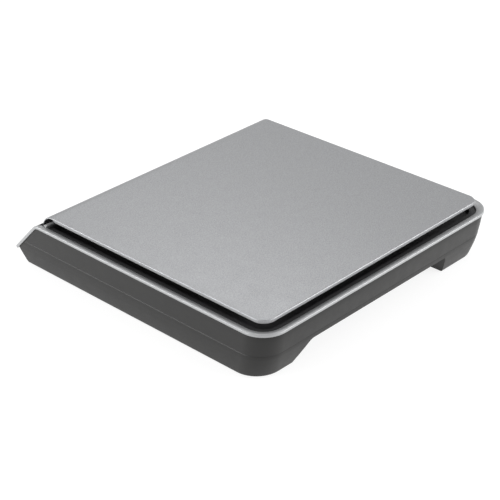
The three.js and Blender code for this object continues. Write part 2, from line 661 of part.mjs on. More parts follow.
function usbPort() {
  const z0 = MAIN_BOARD.z1 + GAP;
  const z1 = z0 + SOCKET_HEIGHT;
  const y1 = RECESS_FRONT_Y - 0.4;
  const middle = (z0 + z1) / 2;
  const shell = box(USB_X - USB_HALF, USB_X + USB_HALF, y1 - 16, y1, z0, z1);
  const hollow = box(USB_X - 4.3, USB_X + 4.3, y1 - 12, y1 + 1, middle - 4, middle + 4);
  const tongue = box(USB_X - 2.8, USB_X + 2.8, y1 - 13, y1 - 2, middle - 1.6, middle + 1.6);
  return part("usb_port", shell.subtract(hollow).add(tongue), "zinc");
}

function batteryCell(x, number) {
  const length = 49;
  const outline = [[0, 0], [CELL_RADIUS, 0], [CELL_RADIUS, length], [2.75, length],
    [2.75, length + 1.5], [0, length + 1.5]].map(([r, y]) => new THREE.Vector2(r, y));
  const geometry = new THREE.LatheGeometry(outline, 24);
  if (number % 2 === 1) {
    geometry.rotateZ(Math.PI).translate(0, length + 1.5, 0);
  }
  geometry.translate(x, BAY.y0 + 3.6, DOOR.z1 + 0.5 + CELL_RADIUS);
  return part(`battery_cell_${number + 1}`, solid(geometry), "cell");
}

function batteryContact(name, wallY, inward) {
  const z = DOOR.z1 + 0.5 + CELL_RADIUS;
  const near = wallY + inward * GAP;
  const far = near + inward * 0.6;
  const plate = box(BAY.x0 + 1, BAY.x1 - 1, Math.min(near, far), Math.max(near, far), z - 6, z + 6);
  const buttons = CELLS_X.map((x) => {
    const button = new THREE.CylinderGeometry(3, 3, 2.2, 12);
    return solid(button.translate(x, near + inward * 1.6, z));
  });
  return part(name, join([plate, ...buttons]), "zinc");
}

function batteryDoor() {
  const { x0, x1, y0, y1, z0, z1 } = DOOR;
  const gripYs = [y1 - 14, y1 - 10, y1 - 6];
  const grips = gripYs.map((y) => box(x0 + 18, x1 - 18, y, y + 1.4, z0 - 1, z0 + 0.6));
  return part("battery_door", cut(box(x0, x1, y0, y1, z0, z1), grips), "charcoal");
}

// A flat cable from the main board along the floor of the base and up to the display board.
function ribbonCable() {
  const route = [[64, 9.4], [56, 9.4], [48, 3.2], [-142, 3.2], [-160.6, 17.6]];
  const shape = new THREE.Shape();
  const thick = 0.8;
  route.forEach(([y, z], i) => (i === 0 ? shape.moveTo(y, z) : shape.lineTo(y, z)));
  [...route].reverse().forEach(([y, z]) => shape.lineTo(y, z + thick));
  return part("ribbon_cable", alongX(shape, 42, 60), "ribbon");
}

// A round lead along a smooth curve. Its last stretch drops onto a plug on the main board.
function lead(name, radius, plugY, start) {
  const end = [[LEAD_PLUG_X, plugY, LEAD_PLUG_TOP + 5.5], [LEAD_PLUG_X, plugY, LEAD_PLUG_TOP + GAP]];
  const route = new THREE.CatmullRomCurve3([...start, ...end].map((point) => new THREE.Vector3(...point)));
  const options = { steps: 40, extrudePath: route, bevelEnabled: false, curveSegments: 4 };
  return part(name, solid(new THREE.ExtrudeGeometry(disc(0, 0, radius), options)), "rubber");
}

function cellLead() {
  const { y, z, radius } = CELL_LEAD;
  const side = CELL_HALF_WIDTH + GAP;
  return lead("load_cell_lead", radius, LEAD_PLUG_YS[1], [
    [side, y, z], [side + 5, y, z], [28, 76, 23], [33, 84, 20]]);
}

function batteryLead() {
  const { x, z, radius } = BATTERY_LEAD;
  return lead("battery_lead", radius, LEAD_PLUG_YS[0], [
    [x, BAY.y1, z], [x, BAY.y1 + 8, z], [-56, 20, 7], [-36, 30, 5], [0, 33, 5], [24, 42, 6], [32, 58, 10],
    [33, 68, 16]]);
}

// ---- assembly ----

const base = new THREE.Group();
base.add(lowerHousing(), mainBoard(), powerJack(), usbPort(), ribbonCable(), batteryDoor());
base.add(cellLead(), batteryLead(), ...CELLS_X.map(batteryCell));
base.add(batteryContact("battery_contact_front", BAY.y0, 1));
base.add(batteryContact("battery_contact_rear", BAY.y1, -1));
base.add(...Object.entries(FEET).map(([name, place]) => foot(name, place)));
base.add(...HOUSING_SCREWS.map(([x, y], i) => fastener(`housing_screw_${i + 1}`, x, y, 0.6, 19, 3.2, 1.5)));

const cellEnd = CENTRE_Y - CELL_HALF_LENGTH;
const cellHeel = CENTRE_Y + CELL_HALF_LENGTH - CELL_END;
const weighing = new THREE.Group();
weighing.add(loadCell(), ...STOPS.map(overloadStop), platterSupport(), ...PADS.map(supportPad), platter());
weighing.add(spacer("cell_base_spacer", cellHeel, FLOOR_PAD_TOP + GAP, CELL_BOTTOM - GAP, BASE_BOLT_YS));
weighing.add(spacer("cell_top_spacer", cellEnd, CELL_TOP + CELL_CLEAR, SUPPORT_BOTTOM - GAP, TOP_BOLT_YS));
weighing.add(...BASE_BOLT_YS.map((y, i) => fastener(
  `cell_base_bolt_${i + 1}`, 0, y, 0.5, 28, BOLT_HEAD, BOLT_RADIUS)));
weighing.add(...TOP_BOLT_YS.map((y, i) => fastener(
  `cell_top_bolt_${i + 1}`, 0, y, SUPPORT_TOP - 0.3, -31, BOLT_HEAD, BOLT_RADIUS)));

panel.add(displayWindow(), lcdModule(), displayBoard(), keypad(), ...KEY_XS.map(key));
panel.add(...BOARD_POSTS_X.map((x, i) => fastener(`board_screw_${i + 1}`, x, 0, -11.9, 7.8, 2.8, 1.2)));

const scale = new THREE.Group();
scale.position.z = FOOT_PROUD;
scale.add(base, ...bezelLengths(), deckCover(), weighing, panel);

export default scale;
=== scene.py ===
"""Platform shipping scale: the finished look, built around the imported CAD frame.

Shapes are worked out in millimetres in the row frame (+Z up, -Y the front, the origin on the
counter under the middle of the scale) and scaled to metres as each mesh is made.
"""
import json
import math

import bmesh
import bpy
from mathutils import Matrix, Vector


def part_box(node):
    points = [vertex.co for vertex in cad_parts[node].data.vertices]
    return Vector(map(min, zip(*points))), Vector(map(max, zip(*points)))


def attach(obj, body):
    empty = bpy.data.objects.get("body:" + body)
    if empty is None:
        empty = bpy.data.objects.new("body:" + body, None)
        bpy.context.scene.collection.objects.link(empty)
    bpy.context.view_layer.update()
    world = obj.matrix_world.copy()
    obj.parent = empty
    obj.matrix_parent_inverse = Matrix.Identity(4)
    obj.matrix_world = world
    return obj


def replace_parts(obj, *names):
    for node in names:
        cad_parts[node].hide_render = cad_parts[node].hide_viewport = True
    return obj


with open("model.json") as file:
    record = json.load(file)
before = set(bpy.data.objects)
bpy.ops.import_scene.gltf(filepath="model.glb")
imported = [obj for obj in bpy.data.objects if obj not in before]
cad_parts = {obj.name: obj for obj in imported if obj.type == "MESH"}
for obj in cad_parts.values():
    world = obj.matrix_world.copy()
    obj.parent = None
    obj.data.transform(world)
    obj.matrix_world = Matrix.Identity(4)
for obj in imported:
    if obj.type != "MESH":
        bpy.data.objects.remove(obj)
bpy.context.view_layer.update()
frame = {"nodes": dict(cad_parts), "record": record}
scene = bpy.context.scene
MM = 0.001


def extent(node):
    """Lowest and highest corners of a CAD node in millimetres."""
    low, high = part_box(node)
    return low / MM, high / MM


def middle(node):
    """A CAD node's middle in plan, and its lowest and highest z."""
    low, high = extent(node)
    return (low.x + high.x) / 2, (low.y + high.y) / 2, low.z, high.z


# ---- driving sizes, from the frame where it states them ----
BEZEL_NODES = ("top_bezel_front", "top_bezel_left", "top_bezel_rear", "top_bezel_right")
BEZEL_LOW = Vector([min(extent(node)[0][axis] for node in BEZEL_NODES) for axis in range(3)])
BEZEL_HIGH = Vector([max(extent(node)[1][axis] for node in BEZEL_NODES) for axis in range(3)])
PLATTER_HIGH = extent("platter")[1]
BASE_LOW, BASE_HIGH = extent("lower_housing")
WELL_FRONT = -146.2             # the front wall of the slot that takes the platter's lip
SLOT_BOTTOM = 45.8              # the floor of that slot
SLOT_TOP = 46.5
CROSS_WALL_FRONT = -136.7       # the wall between the slot and the well
CROSS_WALL_BACK = -132.2
WELL_MARGIN = 3.8               # gap between the platter's edge and the well's wall
WELL_HALF = PLATTER_HIGH.x + WELL_MARGIN
SLOPE_TOP = -142.75             # where the rim's top and the sloping panel would meet
SLOPE_BEND = 13.0               # radius of that bend
NOSE_Z = 17.5                   # height of the panel's lower edge
REAR_RADIUS = 27.0
WELL_REAR_RADIUS = 21.0
NOSE_RADIUS = 1.5
RIM_BEVEL = 5.3                 # width of the sloping band inside the rim
RIM_ROUND = 0.9                 # rounding of the rim's outer edge
RIM_SKIRT = 3.1                 # depth of the rim's outer edge
BASE_WALL = 2.3
BASE_TIP = (-175.2, 16.9)       # the nose of the base as (y, z)
BASE_CORNER_Y = -164.6          # where the straight undercut would meet the underside
CORNER_ROUND = 3.0              # height of the rounding there
BASE_NOSE_RADIUS = 0.7
CREASE_Z = 27.5                 # the fine step round the base
CREASE_STEP = 0.22
RECESS_TOP = BASE_LOW.z + 20.5
RECESS_LEFT = -104.0
RECESS_RIGHT = 122.5
RECESS_FRONT = 128.0
SHEET = 1.2
SHEET_BEND = 0.85               # outer radius of the platter's turned-down edge
EDGE_DROP = 3.75
LIP_RADIUS = 17.0
LIP_START = -127.3
LIP_TURN = math.radians(84)
FLANGE_END = (-126.5, -122.5)   # the turned-down side edges fade out here, short of the bend
PLATTER_CORNER = 13.0
PAST = 2.0                      # how far a cutter reaches past the face that it opens
FEET = ("foot_front_left", "foot_front_right", "foot_rear_left", "foot_rear_right")
RIM_TOP = BEZEL_HIGH.z
SLOPE = math.atan2(RIM_TOP - NOSE_Z, SLOPE_TOP - BEZEL_LOW.y)
BEND_START = SLOPE_TOP + SLOPE_BEND * math.tan(SLOPE / 2)


# ---- mesh helpers ----
def plan(half, front, back, rear_radius, front_radius, steps=12):
    """A rectangle in plan with rounded corners, anticlockwise from the front right corner."""
    corners = (
        (half - front_radius, front + front_radius, front_radius, -90),
        (half - rear_radius, back - rear_radius, rear_radius, 0),
        (rear_radius - half, back - rear_radius, rear_radius, 90),
        (front_radius - half, front + front_radius, front_radius, 180),
    )
    points = []
    for x, y, radius, start in corners:
        for step in range(steps + 1):
            turn = math.radians(start + 90 * step / steps)
            points.append((x + radius * math.cos(turn), y + radius * math.sin(turn)))
    return points


def rings_mesh(rings, closed=False):
    """A bmesh through rings of equal length; the ends are capped, or joined when closed."""
    bm = bmesh.new()
    loops = [[bm.verts.new(point) for point in ring] for ring in rings]
    pairs = list(zip(loops, loops[1:]))
    if closed:
        pairs.append((loops[-1], loops[0]))
    for low, high in pairs:
        for i in range(len(low)):
            j = (i + 1) % len(low)
            bm.faces.new((low[i], low[j], high[j], high[i]))
    if not closed:
        bm.faces.new(loops[0][::-1])
        bm.faces.new(loops[-1])
    bmesh.ops.recalc_face_normals(bm, faces=bm.faces)
    return bm


def finish_mesh(bm, name, body, slot, smooth=35.0, look=None):
    """Turns a bmesh in millimetres into an object in metres that rides on a body.

    Edges sharper than the smooth angle stay sharp. The material is the slot's unless look names one."""
    bmesh.ops.scale(bm, vec=(MM, MM, MM), verts=bm.verts)
    mesh = bpy.data.meshes.new(name)
    bm.to_mesh(mesh)
    bm.free()
    mesh.materials.append(MATERIALS[look or slot])
    mesh.shade_smooth()
    mesh.set_sharp_from_angle(angle=math.radians(smooth))
    piece = bpy.data.objects.new(name, mesh)
    scene.collection.objects.link(piece)
    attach(piece, body)
    return piece


def add_box(bm, low, high):
    """A box between its lowest and highest corners."""
    made = bmesh.ops.create_cube(bm, size=1.0)["verts"]
    centre = (Vector(low) + Vector(high)) / 2
    size = Vector(high) - Vector(low)
    for vert in made:
        vert.co = Vector((vert.co.x * size.x, vert.co.y * size.y, vert.co.z * size.z)) + centre


def add_post(bm, x, y, low, high, radius, sides):
    """An upright post between two heights."""
    bmesh.ops.create_cone(bm, cap_ends=True, segments=sides, radius1=radius, radius2=radius,
                          depth=high - low, matrix=Matrix.Translation((x, y, (low + high) / 2)))


def add_prism(bm, outline, low, high, axis="x"):
    """An outline drawn out along one axis: (y, z) along x, (x, z) along y and (x, y) along z."""
    def point(u, v, w):
        if axis == "x":
            return (w, u, v)
        if axis == "y":
            return (u, w, v)
        return (u, v, w)
    near = [bm.verts.new(point(u, v, low)) for u, v in outline]
    far = [bm.verts.new(point(u, v, high)) for u, v in outline]
    faces = [bm.faces.new(near), bm.faces.new(far[::-1])]
    for i in range(len(outline)):
        j = (i + 1) % len(outline)
        faces.append(bm.faces.new((near[j], near[i], far[i], far[j])))
    bmesh.ops.recalc_face_normals(bm, faces=faces)
    return near + far


def lathe(bm, profile, x=0.0, y=0.0, sides=40, matrix=None):
    """A profile of (radius, z) points turned round an upright axis; it starts and ends on the axis."""
    levels = []
    for radius, z in profile:
        if radius < 1e-6:
            levels.append([bm.verts.new((x, y, z))])
            continue
        turns = [math.tau * i / sides for i in range(sides)]
        levels.append([bm.verts.new((x + radius * math.cos(t), y + radius * math.sin(t), z)) for t in turns])
    faces = []
    for low, high in zip(levels, levels[1:]):
        for i in range(sides):
            j = (i + 1) % sides
            corners = (low[i % len(low)], low[j % len(low)], high[j % len(high)], high[i % len(high)])
            faces.append(bm.faces.new(tuple(dict.fromkeys(corners))))
    bmesh.ops.recalc_face_normals(bm, faces=faces)
    if matrix is not None:
        bmesh.ops.transform(bm, matrix=matrix, verts=[vert for level in levels for vert in level])


def skin(bm, rings):
    """Faces between rings of vertices, with both ends capped."""
    faces = [bm.faces.new(rings[0][::-1]), bm.faces.new(rings[-1])]
    for low, high in zip(rings, rings[1:]):
        for i in range(len(low)):
            j = (i + 1) % len(low)
            faces.append(bm.faces.new((low[i], low[j], high[j], high[i])))
    bmesh.ops.recalc_face_normals(bm, faces=faces)


def add_tube(bm, points, radius, sides):
    """A round wire through a list of points, with flat ends."""
    rings = []
    for i, point in enumerate(points):
        before = Vector(points[max(i - 1, 0)])
        after = Vector(points[min(i + 1, len(points) - 1)])
        turn = (after - before).to_track_quat("Z", "Y")
        ring = []
        for side in range(sides):
            angle = math.tau * side / sides
            offset = turn @ Vector((radius * math.cos(angle), radius * math.sin(angle), 0))
            ring.append(bm.verts.new(Vector(point) + offset))
        rings.append(ring)
    skin(bm, rings)


def rounded_stack(bm, x, y, width, height, radius, levels, matrix=None, steps=6):
    """A pad with rounded corners through levels of (inset, z), closed at both ends."""
    rings = []
    for inset, z in levels:
        corner = max(radius - inset, 0.15)
        outline = plan(width / 2 - inset, inset - height / 2, height / 2 - inset, corner, corner, steps)
        rings.append([bm.verts.new((x + u, y + v, z)) for u, v in outline])
    skin(bm, rings)
    if matrix is not None:
        bmesh.ops.transform(bm, matrix=matrix, verts=[vert for ring in rings for vert in ring])


def thread(low, high, outer, depth=0.28, pitch=0.9):
    """The zigzag outline of a screw thread between two heights."""
    points = []
    turns = max(int((high - low) / pitch), 1)
    for turn in range(turns):
        z = low + (high - low) * turn / turns
        points += [(outer - depth, z), (outer, z + 0.5 * (high - low) / turns)]
    return points + [(outer - depth, high)]


def combine(target, cutter, operation):
    """Joins or cuts one bmesh by another with an exact boolean and returns the result."""
    objects = []
    for source in (target, cutter):
        mesh = bpy.data.meshes.new("boolean_work")
        source.to_mesh(mesh)
        source.free()
        work = bpy.data.objects.new("boolean_work", mesh)
        scene.collection.objects.link(work)
        objects.append(work)
    modifier = objects[0].modifiers.new("boolean", "BOOLEAN")
    modifier.operation = operation
    modifier.solver = "EXACT"
    modifier.use_self = operation == "UNION"
    modifier.object = objects[1]
    graph = bpy.context.evaluated_depsgraph_get()
    result = bmesh.new()
    result.from_object(objects[0], graph)
    for work in objects:
        mesh = work.data
        bpy.data.objects.remove(work)
        bpy.data.meshes.remove(mesh)
    return result


def soften(bm, width, segments=2, angle=30.0):
    """Bevels the edges that are sharper than the angle."""
    limit = math.radians(angle)
    edges = [edge for edge in bm.edges if len(edge.link_faces) == 2 and edge.calc_face_angle(0.0) > limit]
    bmesh.ops.bevel(bm, geom=edges, offset=width, offset_type="OFFSET", segments=segments,
                    profile=0.5, affect="EDGES", clamp_overlap=True)


def merged_copy(node):
    """A CAD node's mesh in millimetres, with its flat faces merged."""
    bm = bmesh.new()
    bm.from_mesh(frame["nodes"][node].data)
    bmesh.ops.scale(bm, vec=(1 / MM, 1 / MM, 1 / MM), verts=bm.verts)
    bmesh.ops.remove_doubles(bm, verts=bm.verts, dist=0.005)
    bmesh.ops.dissolve_limit(bm, angle_limit=math.radians(1.0), verts=bm.verts, edges=bm.edges)
    return bm


def refined(node, name, body, slot, width=0.3, segments=2, angle=30.0):
    """A copy of a CAD node with its edges rounded, which stands for it."""
    bm = merged_copy(node)
    soften(bm, width, segments, angle)
    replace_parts(finish_mesh(bm, name, body, slot), node)


# ---- materials ----
BUMP_DEPTH = 0.0001             # metres


class Finish:
    """A procedural material: a Principled shader with helpers that add colour and bump nodes."""

    def __init__(self, name, color, roughness, metallic=0.0):
        self.material = bpy.data.materials.new(name)
        self.material.use_nodes = True
        self.nodes = self.material.node_tree.nodes
        self.links = self.material.node_tree.links
        self.shader = self.nodes["Principled BSDF"]
        self.shader.inputs["Base Color"].default_value = (*color, 1.0)
        self.shader.inputs["Roughness"].default_value = roughness
        self.shader.inputs["Metallic"].default_value = metallic
        self.place = self.nodes.new("ShaderNodeTexCoord").outputs["Object"]

    def noise(self, scale, detail, roughness=0.6):
        node = self.nodes.new("ShaderNodeTexNoise")
        node.inputs["Scale"].default_value = scale
        node.inputs["Detail"].default_value = detail
        node.inputs["Roughness"].default_value = roughness
        self.links.new(self.place, node.inputs["Vector"])
        return node.outputs["Fac"]

    def ramp(self, value, low, high, out_low=0.0, out_high=1.0):
        """Stretches the part of a value between low and high over a range."""
        node = self.nodes.new("ShaderNodeMapRange")
        node.inputs["From Min"].default_value = low
        node.inputs["From Max"].default_value = high
        node.inputs["To Min"].default_value = out_low
        node.inputs["To Max"].default_value = out_high
        self.links.new(value, node.inputs["Value"])
        return node.outputs["Result"]

    def tint(self, value, dark, light):
        """Colours the surface between two shades by a value from 0 to 1."""
        node = self.nodes.new("ShaderNodeMix")
        node.data_type = "RGBA"
        node.inputs[6].default_value = (*dark, 1.0)
        node.inputs[7].default_value = (*light, 1.0)
        self.links.new(value, node.inputs[0])
        self.links.new(node.outputs[2], self.shader.inputs["Base Color"])

    def vary_roughness(self, value, low, high):
        """Lets the roughness drift between two values."""
        self.links.new(self.ramp(value, 0.3, 0.7, low, high), self.shader.inputs["Roughness"])

    def bump(self, value, height):
        """Raises and sinks the surface by a value."""
        node = self.nodes.new("ShaderNodeBump")
        node.inputs["Strength"].default_value = height
        node.inputs["Distance"].default_value = BUMP_DEPTH
        self.links.new(value, node.inputs["Height"])
        self.links.new(node.outputs["Normal"], self.shader.inputs["Normal"])


def shades(color, spread):
    """A darker and a lighter shade of a colour."""
    return [channel * (1 - spread) for channel in color], [channel * (1 + spread) for channel in color]


def grained(name, color, roughness, metallic, grain, spread, height):
    """Moulded or cast surfaces: fine grain in the bump, faint cloudiness in the colour."""
    finish = Finish(name, color, roughness, metallic)
    cloud = finish.noise(28.0, 4.0)
    finish.tint(finish.ramp(cloud, 0.3, 0.7), *shades(color, spread))
    finish.vary_roughness(finish.noise(90.0, 3.0), roughness * 0.92, min(roughness * 1.1, 1.0))
    finish.bump(finish.noise(grain, 2.0), height)
    return finish


def platter_finish():
    """Satin steel with the fine sparkle of a bead-blasted sheet."""
    color = (0.352, 0.356, 0.365)
    finish = Finish("platter_steel", color, 0.46, 0.85)
    speck = finish.ramp(finish.noise(900.0, 2.0, 0.7), 0.35, 0.65)
    finish.tint(speck, *shades(color, 0.16))
    finish.vary_roughness(finish.noise(60.0, 4.0), 0.43, 0.50)
    finish.bump(finish.noise(1700.0, 2.0), 0.22)
    return finish.material


def silver_finish():
    """Silver paint with fine flakes."""
    color = (0.36, 0.365, 0.37)
    finish = Finish("silver_bezel", color, 0.36, 0.35)
    flake = finish.ramp(finish.noise(2600.0, 1.0, 0.5), 0.35, 0.65)
    finish.tint(flake, *shades(color, 0.06))
    finish.vary_roughness(finish.noise(70.0, 3.0), 0.33, 0.40)
    finish.bump(finish.noise(1400.0, 2.0), 0.08)
    return finish.material


def charcoal_finish():
    """Dark moulded plastic with a fine matt texture."""
    finish = grained("charcoal_base", (0.0092, 0.0089, 0.0084), 0.40, 0.0, 2100.0, 0.07, 0.3)
    finish.shader.inputs["Specular IOR Level"].default_value = 0.41
    return finish.material


def window_finish():
    """Clear acrylic."""
    finish = Finish("window", (0.75, 0.8, 0.8), 0.06)
    finish.shader.inputs["Transmission Weight"].default_value = 0.92
    finish.shader.inputs["IOR"].default_value = 1.49
    finish.bump(finish.noise(300.0, 2.0), 0.02)
    return finish.material


# slot: colour, roughness, metallic, grain per metre, spread of the colour, height of the grain
GRAINED = {
    "black_deck": ((0.040, 0.040, 0.042), 0.55, 0.0, 1500.0, 0.08, 0.25),
    "cast_aluminium": ((0.42, 0.43, 0.44), 0.5, 0.9, 900.0, 0.08, 0.5),
    "cell_aluminium": ((0.52, 0.53, 0.54), 0.35, 0.95, 1800.0, 0.08, 0.15),
    "zinc_steel": ((0.52, 0.52, 0.50), 0.32, 0.9, 1500.0, 0.08, 0.15),
    "rubber": ((0.014, 0.014, 0.014), 0.75, 0.0, 1300.0, 0.08, 0.35),
    "lcd": ((0.30, 0.35, 0.27), 0.25, 0.0, 2500.0, 0.03, 0.03),
    "lcd_off": ((0.24, 0.28, 0.21), 0.3, 0.0, 2500.0, 0.03, 0.03),
    "circuit_board": ((0.012, 0.10, 0.045), 0.35, 0.0, 700.0, 0.08, 0.2),
    "key_plastic": ((0.045, 0.046, 0.050), 0.5, 0.0, 1900.0, 0.08, 0.3),
    "socket_black": ((0.010, 0.010, 0.010), 0.35, 0.0, 1500.0, 0.08, 0.15),
    "socket_metal": ((0.52, 0.52, 0.52), 0.3, 0.95, 1500.0, 0.08, 0.1),
    "cell_wrap": ((0.03, 0.045, 0.09), 0.3, 0.0, 900.0, 0.08, 0.05),
    "ribbon": ((0.45, 0.46, 0.46), 0.5, 0.0, 900.0, 0.08, 0.2),
}
MATERIALS = {name: grained(name, *values).material for name, values in GRAINED.items()}
MATERIALS["platter_steel"] = platter_finish()
MATERIALS["silver_bezel"] = silver_finish()
MATERIALS["charcoal_base"] = charcoal_finish()
MATERIALS["window"] = window_finish()


# ---- platter ----
def slice_at(bm, y, **options):
    """Cuts edges into a mesh along a plane across the scale, and returns what it made."""
    geometry = bm.verts[:] + bm.edges[:] + bm.faces[:]
    return bmesh.ops.bisect_plane(bm, geom=geometry, dist=1e-5, plane_co=(0, y, 0), plane_no=(0, -1, 0),
                                  **options)["geom_cut"]


def platter_tray(lip_end):
    """The flat sheet with turned-down edges, cut off square where the lip ends."""
    turned = [(SHEET_BEND * (1 - math.sin(math.radians(a))), -SHEET_BEND * (1 - math.cos(math.radians(a))))
              for a in range(0, 91, 15)]
    edge = 0.25
    profile = turned + [
        (0.0, edge - EDGE_DROP), (edge, -EDGE_DROP), (SHEET - edge, -EDGE_DROP), (SHEET, edge - EDGE_DROP),
        (SHEET, -SHEET - 0.4), (SHEET + 0.4, -SHEET),
    ]
    rings = []
    for inset, depth in profile:
        outline = plan(PLATTER_HIGH.x - inset, lip_end - 20, PLATTER_HIGH.y - inset,
                       PLATTER_CORNER - inset, 4.0)
        rings.append([(x, y, depth) for x, y in outline])
    bm = rings_mesh(rings)
    cut = slice_at(bm, lip_end, clear_outer=True)
    bmesh.ops.contextual_create(bm, geom=[item for item in cut if isinstance(item, bmesh.types.BMEdge)])
    return bm


def platter_sheet():
    """The tray bent down at the front, with its side edges fading out before the bend."""
    lip_end = LIP_START - LIP_RADIUS * LIP_TURN
    bm = platter_tray(lip_end)
    steps = 26
    for step in range(steps):
        slice_at(bm, LIP_START - LIP_RADIUS * LIP_TURN * step / steps)
    fade_front, fade_back = FLANGE_END
    slice_at(bm, fade_front)
    slice_at(bm, fade_back)
    top = PLATTER_HIGH.z
    for vert in bm.verts:
        x, y, depth = vert.co
        kept = min(max((y - fade_front) / (fade_back - fade_front), 0.02), 1.0)
        if depth < -SHEET:
            depth = -SHEET + (depth + SHEET) * kept
        turn = max(LIP_START - y, 0.0) / LIP_RADIUS
        reach = LIP_RADIUS + depth
        vert.co.z = top + depth
        if turn > 0:
            vert.co = (x, LIP_START - reach * math.sin(turn), top - LIP_RADIUS + reach * math.cos(turn))
    bmesh.ops.recalc_face_normals(bm, faces=bm.faces)
    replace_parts(finish_mesh(bm, "platter_sheet", "platter", "platter_steel", 40), "platter")


# ---- bezel ----
def slope_point(y, depth, upright):
    """A point of the bezel's flat pattern folded down over the sloping panel.

    depth is measured from the top surface: square to it, or straight down when upright."""
    if y >= BEND_START:
        return y, RIM_TOP + depth
    turn = min((BEND_START - y) / SLOPE_BEND, SLOPE)
    along = max(BEND_START - SLOPE_BEND * SLOPE - y, 0.0)
    surface_y = BEND_START - SLOPE_BEND * math.sin(turn) - along * math.cos(SLOPE)
    surface_z = RIM_TOP - SLOPE_BEND * (1 - math.cos(turn)) - along * math.sin(SLOPE)
    if upright:
        return surface_y, surface_z + depth
    return surface_y - depth * math.sin(turn), surface_z + depth * math.cos(turn)


def flat_length(y):
    """Where a point of the slope at y lies in the flat pattern."""
    bend_end_y = BEND_START - SLOPE_BEND * math.sin(SLOPE)
    return BEND_START - SLOPE_BEND * SLOPE - (bend_end_y - y) / math.cos(SLOPE)


PANEL_MID_Y = (BEZEL_LOW.y + WELL_FRONT) / 2
PANEL_MID_Z = NOSE_Z + (PANEL_MID_Y - BEZEL_LOW.y) * math.tan(SLOPE)
PANEL = Matrix.Translation((0, PANEL_MID_Y, PANEL_MID_Z)) @ Matrix.Rotation(SLOPE, 4, "X")
# places and sizes on the panel, from its middle: to the right and up the slope
WINDOW_X, WINDOW_Y, WINDOW_WIDTH, WINDOW_HEIGHT = -40.0, -1.0, 80.0, 26.0
DISPLAY_Y = -1.75
KEYS = {"power_key": 36.0, "tare_key": 61.0, "unit_key": 86.0, "hold_key": 111.0}
KEY_WIDTH, KEY_HEIGHT = 18.0, 11.0


def panel_opening(bm, x, y, width, height, radius):
    """A cutter for an opening with rounded corners, square through the sloping panel."""
    outline = plan(width / 2, -height / 2, height / 2, radius, radius, 5)
    made = add_prism(bm, [(x + u, y + v) for u, v in outline], -9, 4, axis="z")
    bmesh.ops.transform(bm, matrix=PANEL, verts=made)


def cap_pattern():
    """The cap as a closed ring before its front is folded down.

    Its vertices carry a layer that says which of them fold straight down."""
    outer = [(1.4, -RIM_SKIRT), (0.25, -RIM_SKIRT), (0.0, 0.25 - RIM_SKIRT), (0.0, -RIM_ROUND)]
    outer += [(RIM_ROUND * (1 - math.cos(math.radians(a))), -RIM_ROUND * (1 - math.sin(math.radians(a))))
              for a in (18, 36, 54, 72, 90)]
    outer += [(1.2, 0.0)]
    inner = [(RIM_BEVEL, 0.0), (RIM_BEVEL - 0.4, -0.08), (0.45, -1.55), (0.12, -1.75), (0.0, -2.1),
             (0.0, -8.5), (1.2, -8.5), (1.2, -2.9)]
    front = flat_length(BEZEL_LOW.y)
    slot = flat_length(WELL_FRONT)
    rings = []
    for inset, depth in outer:
        outline = plan(BEZEL_HIGH.x - inset, front + inset, BEZEL_HIGH.y - inset, REAR_RADIUS - inset,
                       NOSE_RADIUS - inset)
        rings.append([(x, y, depth) for x, y in outline])
    for grow, depth in inner:
        ahead = grow * 0.12
        outline = plan(WELL_HALF + grow, slot - ahead, PLATTER_HIGH.y + WELL_MARGIN + grow,
                       WELL_REAR_RADIUS + grow, 1.5 + ahead)
        rings.append([(x, y, depth) for x, y in outline])
    bm = rings_mesh(rings, closed=True)
    upright = bm.verts.layers.int.new("upright")
    bm.verts.ensure_lookup_table()
    outer_count = len(outer) * len(rings[0])
    for vert in bm.verts:
        vert[upright] = int(vert.index >= outer_count)
    return bm, upright


def bezel_cap():
    """The silver cap with its rounded rim, folded down over the panel, and the panel's openings."""
    bm, upright = cap_pattern()
    steps = 8
    for step in range(steps + 1):
        made = slice_at(bm, BEND_START - SLOPE_BEND * SLOPE * step / steps)
        for vert in (item for item in made if isinstance(item, bmesh.types.BMVert)):
            vert[upright] = int(abs(vert.co.x) < BEZEL_HIGH.x - 2.4 and vert.co.z != 0.0)
    for vert in bm.verts:
        vert.co.y, vert.co.z = slope_point(vert.co.y, vert.co.z, bool(vert[upright]))
    bmesh.ops.recalc_face_normals(bm, faces=bm.faces)
    cutter = bmesh.new()
    panel_opening(cutter, WINDOW_X, WINDOW_Y, WINDOW_WIDTH, WINDOW_HEIGHT, 1.2)
    for x in KEYS.values():
        panel_opening(cutter, x, 0.0, KEY_WIDTH, KEY_HEIGHT, 1.6)
    bm = combine(bm, cutter, "DIFFERENCE")
    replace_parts(finish_mesh(bm, "bezel_cap", "base", "silver_bezel", 32), *BEZEL_NODES)


def bezel_inside():
    """The cross wall under the platter's lip, the floor of the slot in front of it, and a dark rubber strip
    that darkens the slot's front wall.
    """
    wide, narrow = WELL_HALF + 0.6, WELL_HALF - 0.2
    wall_top = RIM_TOP - 0.05
    boxes = (
        ("bezel_cross_wall", "silver_bezel", wide, CROSS_WALL_FRONT, CROSS_WALL_BACK,
         SLOT_BOTTOM, wall_top, 0.8, 3),
        ("bezel_slot_floor", "black_deck", wide, WELL_FRONT + 0.3, CROSS_WALL_FRONT - 0.2,
         SLOT_BOTTOM, SLOT_TOP, 0.2, 2),
        # a dark rubber strip standing up from the slot's floor, making the slot's front wall read dark
        ("slot_front_dark_strip", "rubber", narrow, WELL_FRONT + 0.2, WELL_FRONT + 1,
         SLOT_TOP + 0.1, RIM_TOP - 4, 0.2, 2),
    )
    for name, slot, half, front, back, bottom, top, width, segments in boxes:
        bm = bmesh.new()
        add_box(bm, (-half, front, bottom), (half, back, top))
        soften(bm, width, segments)
        finish_mesh(bm, name, "base", slot)


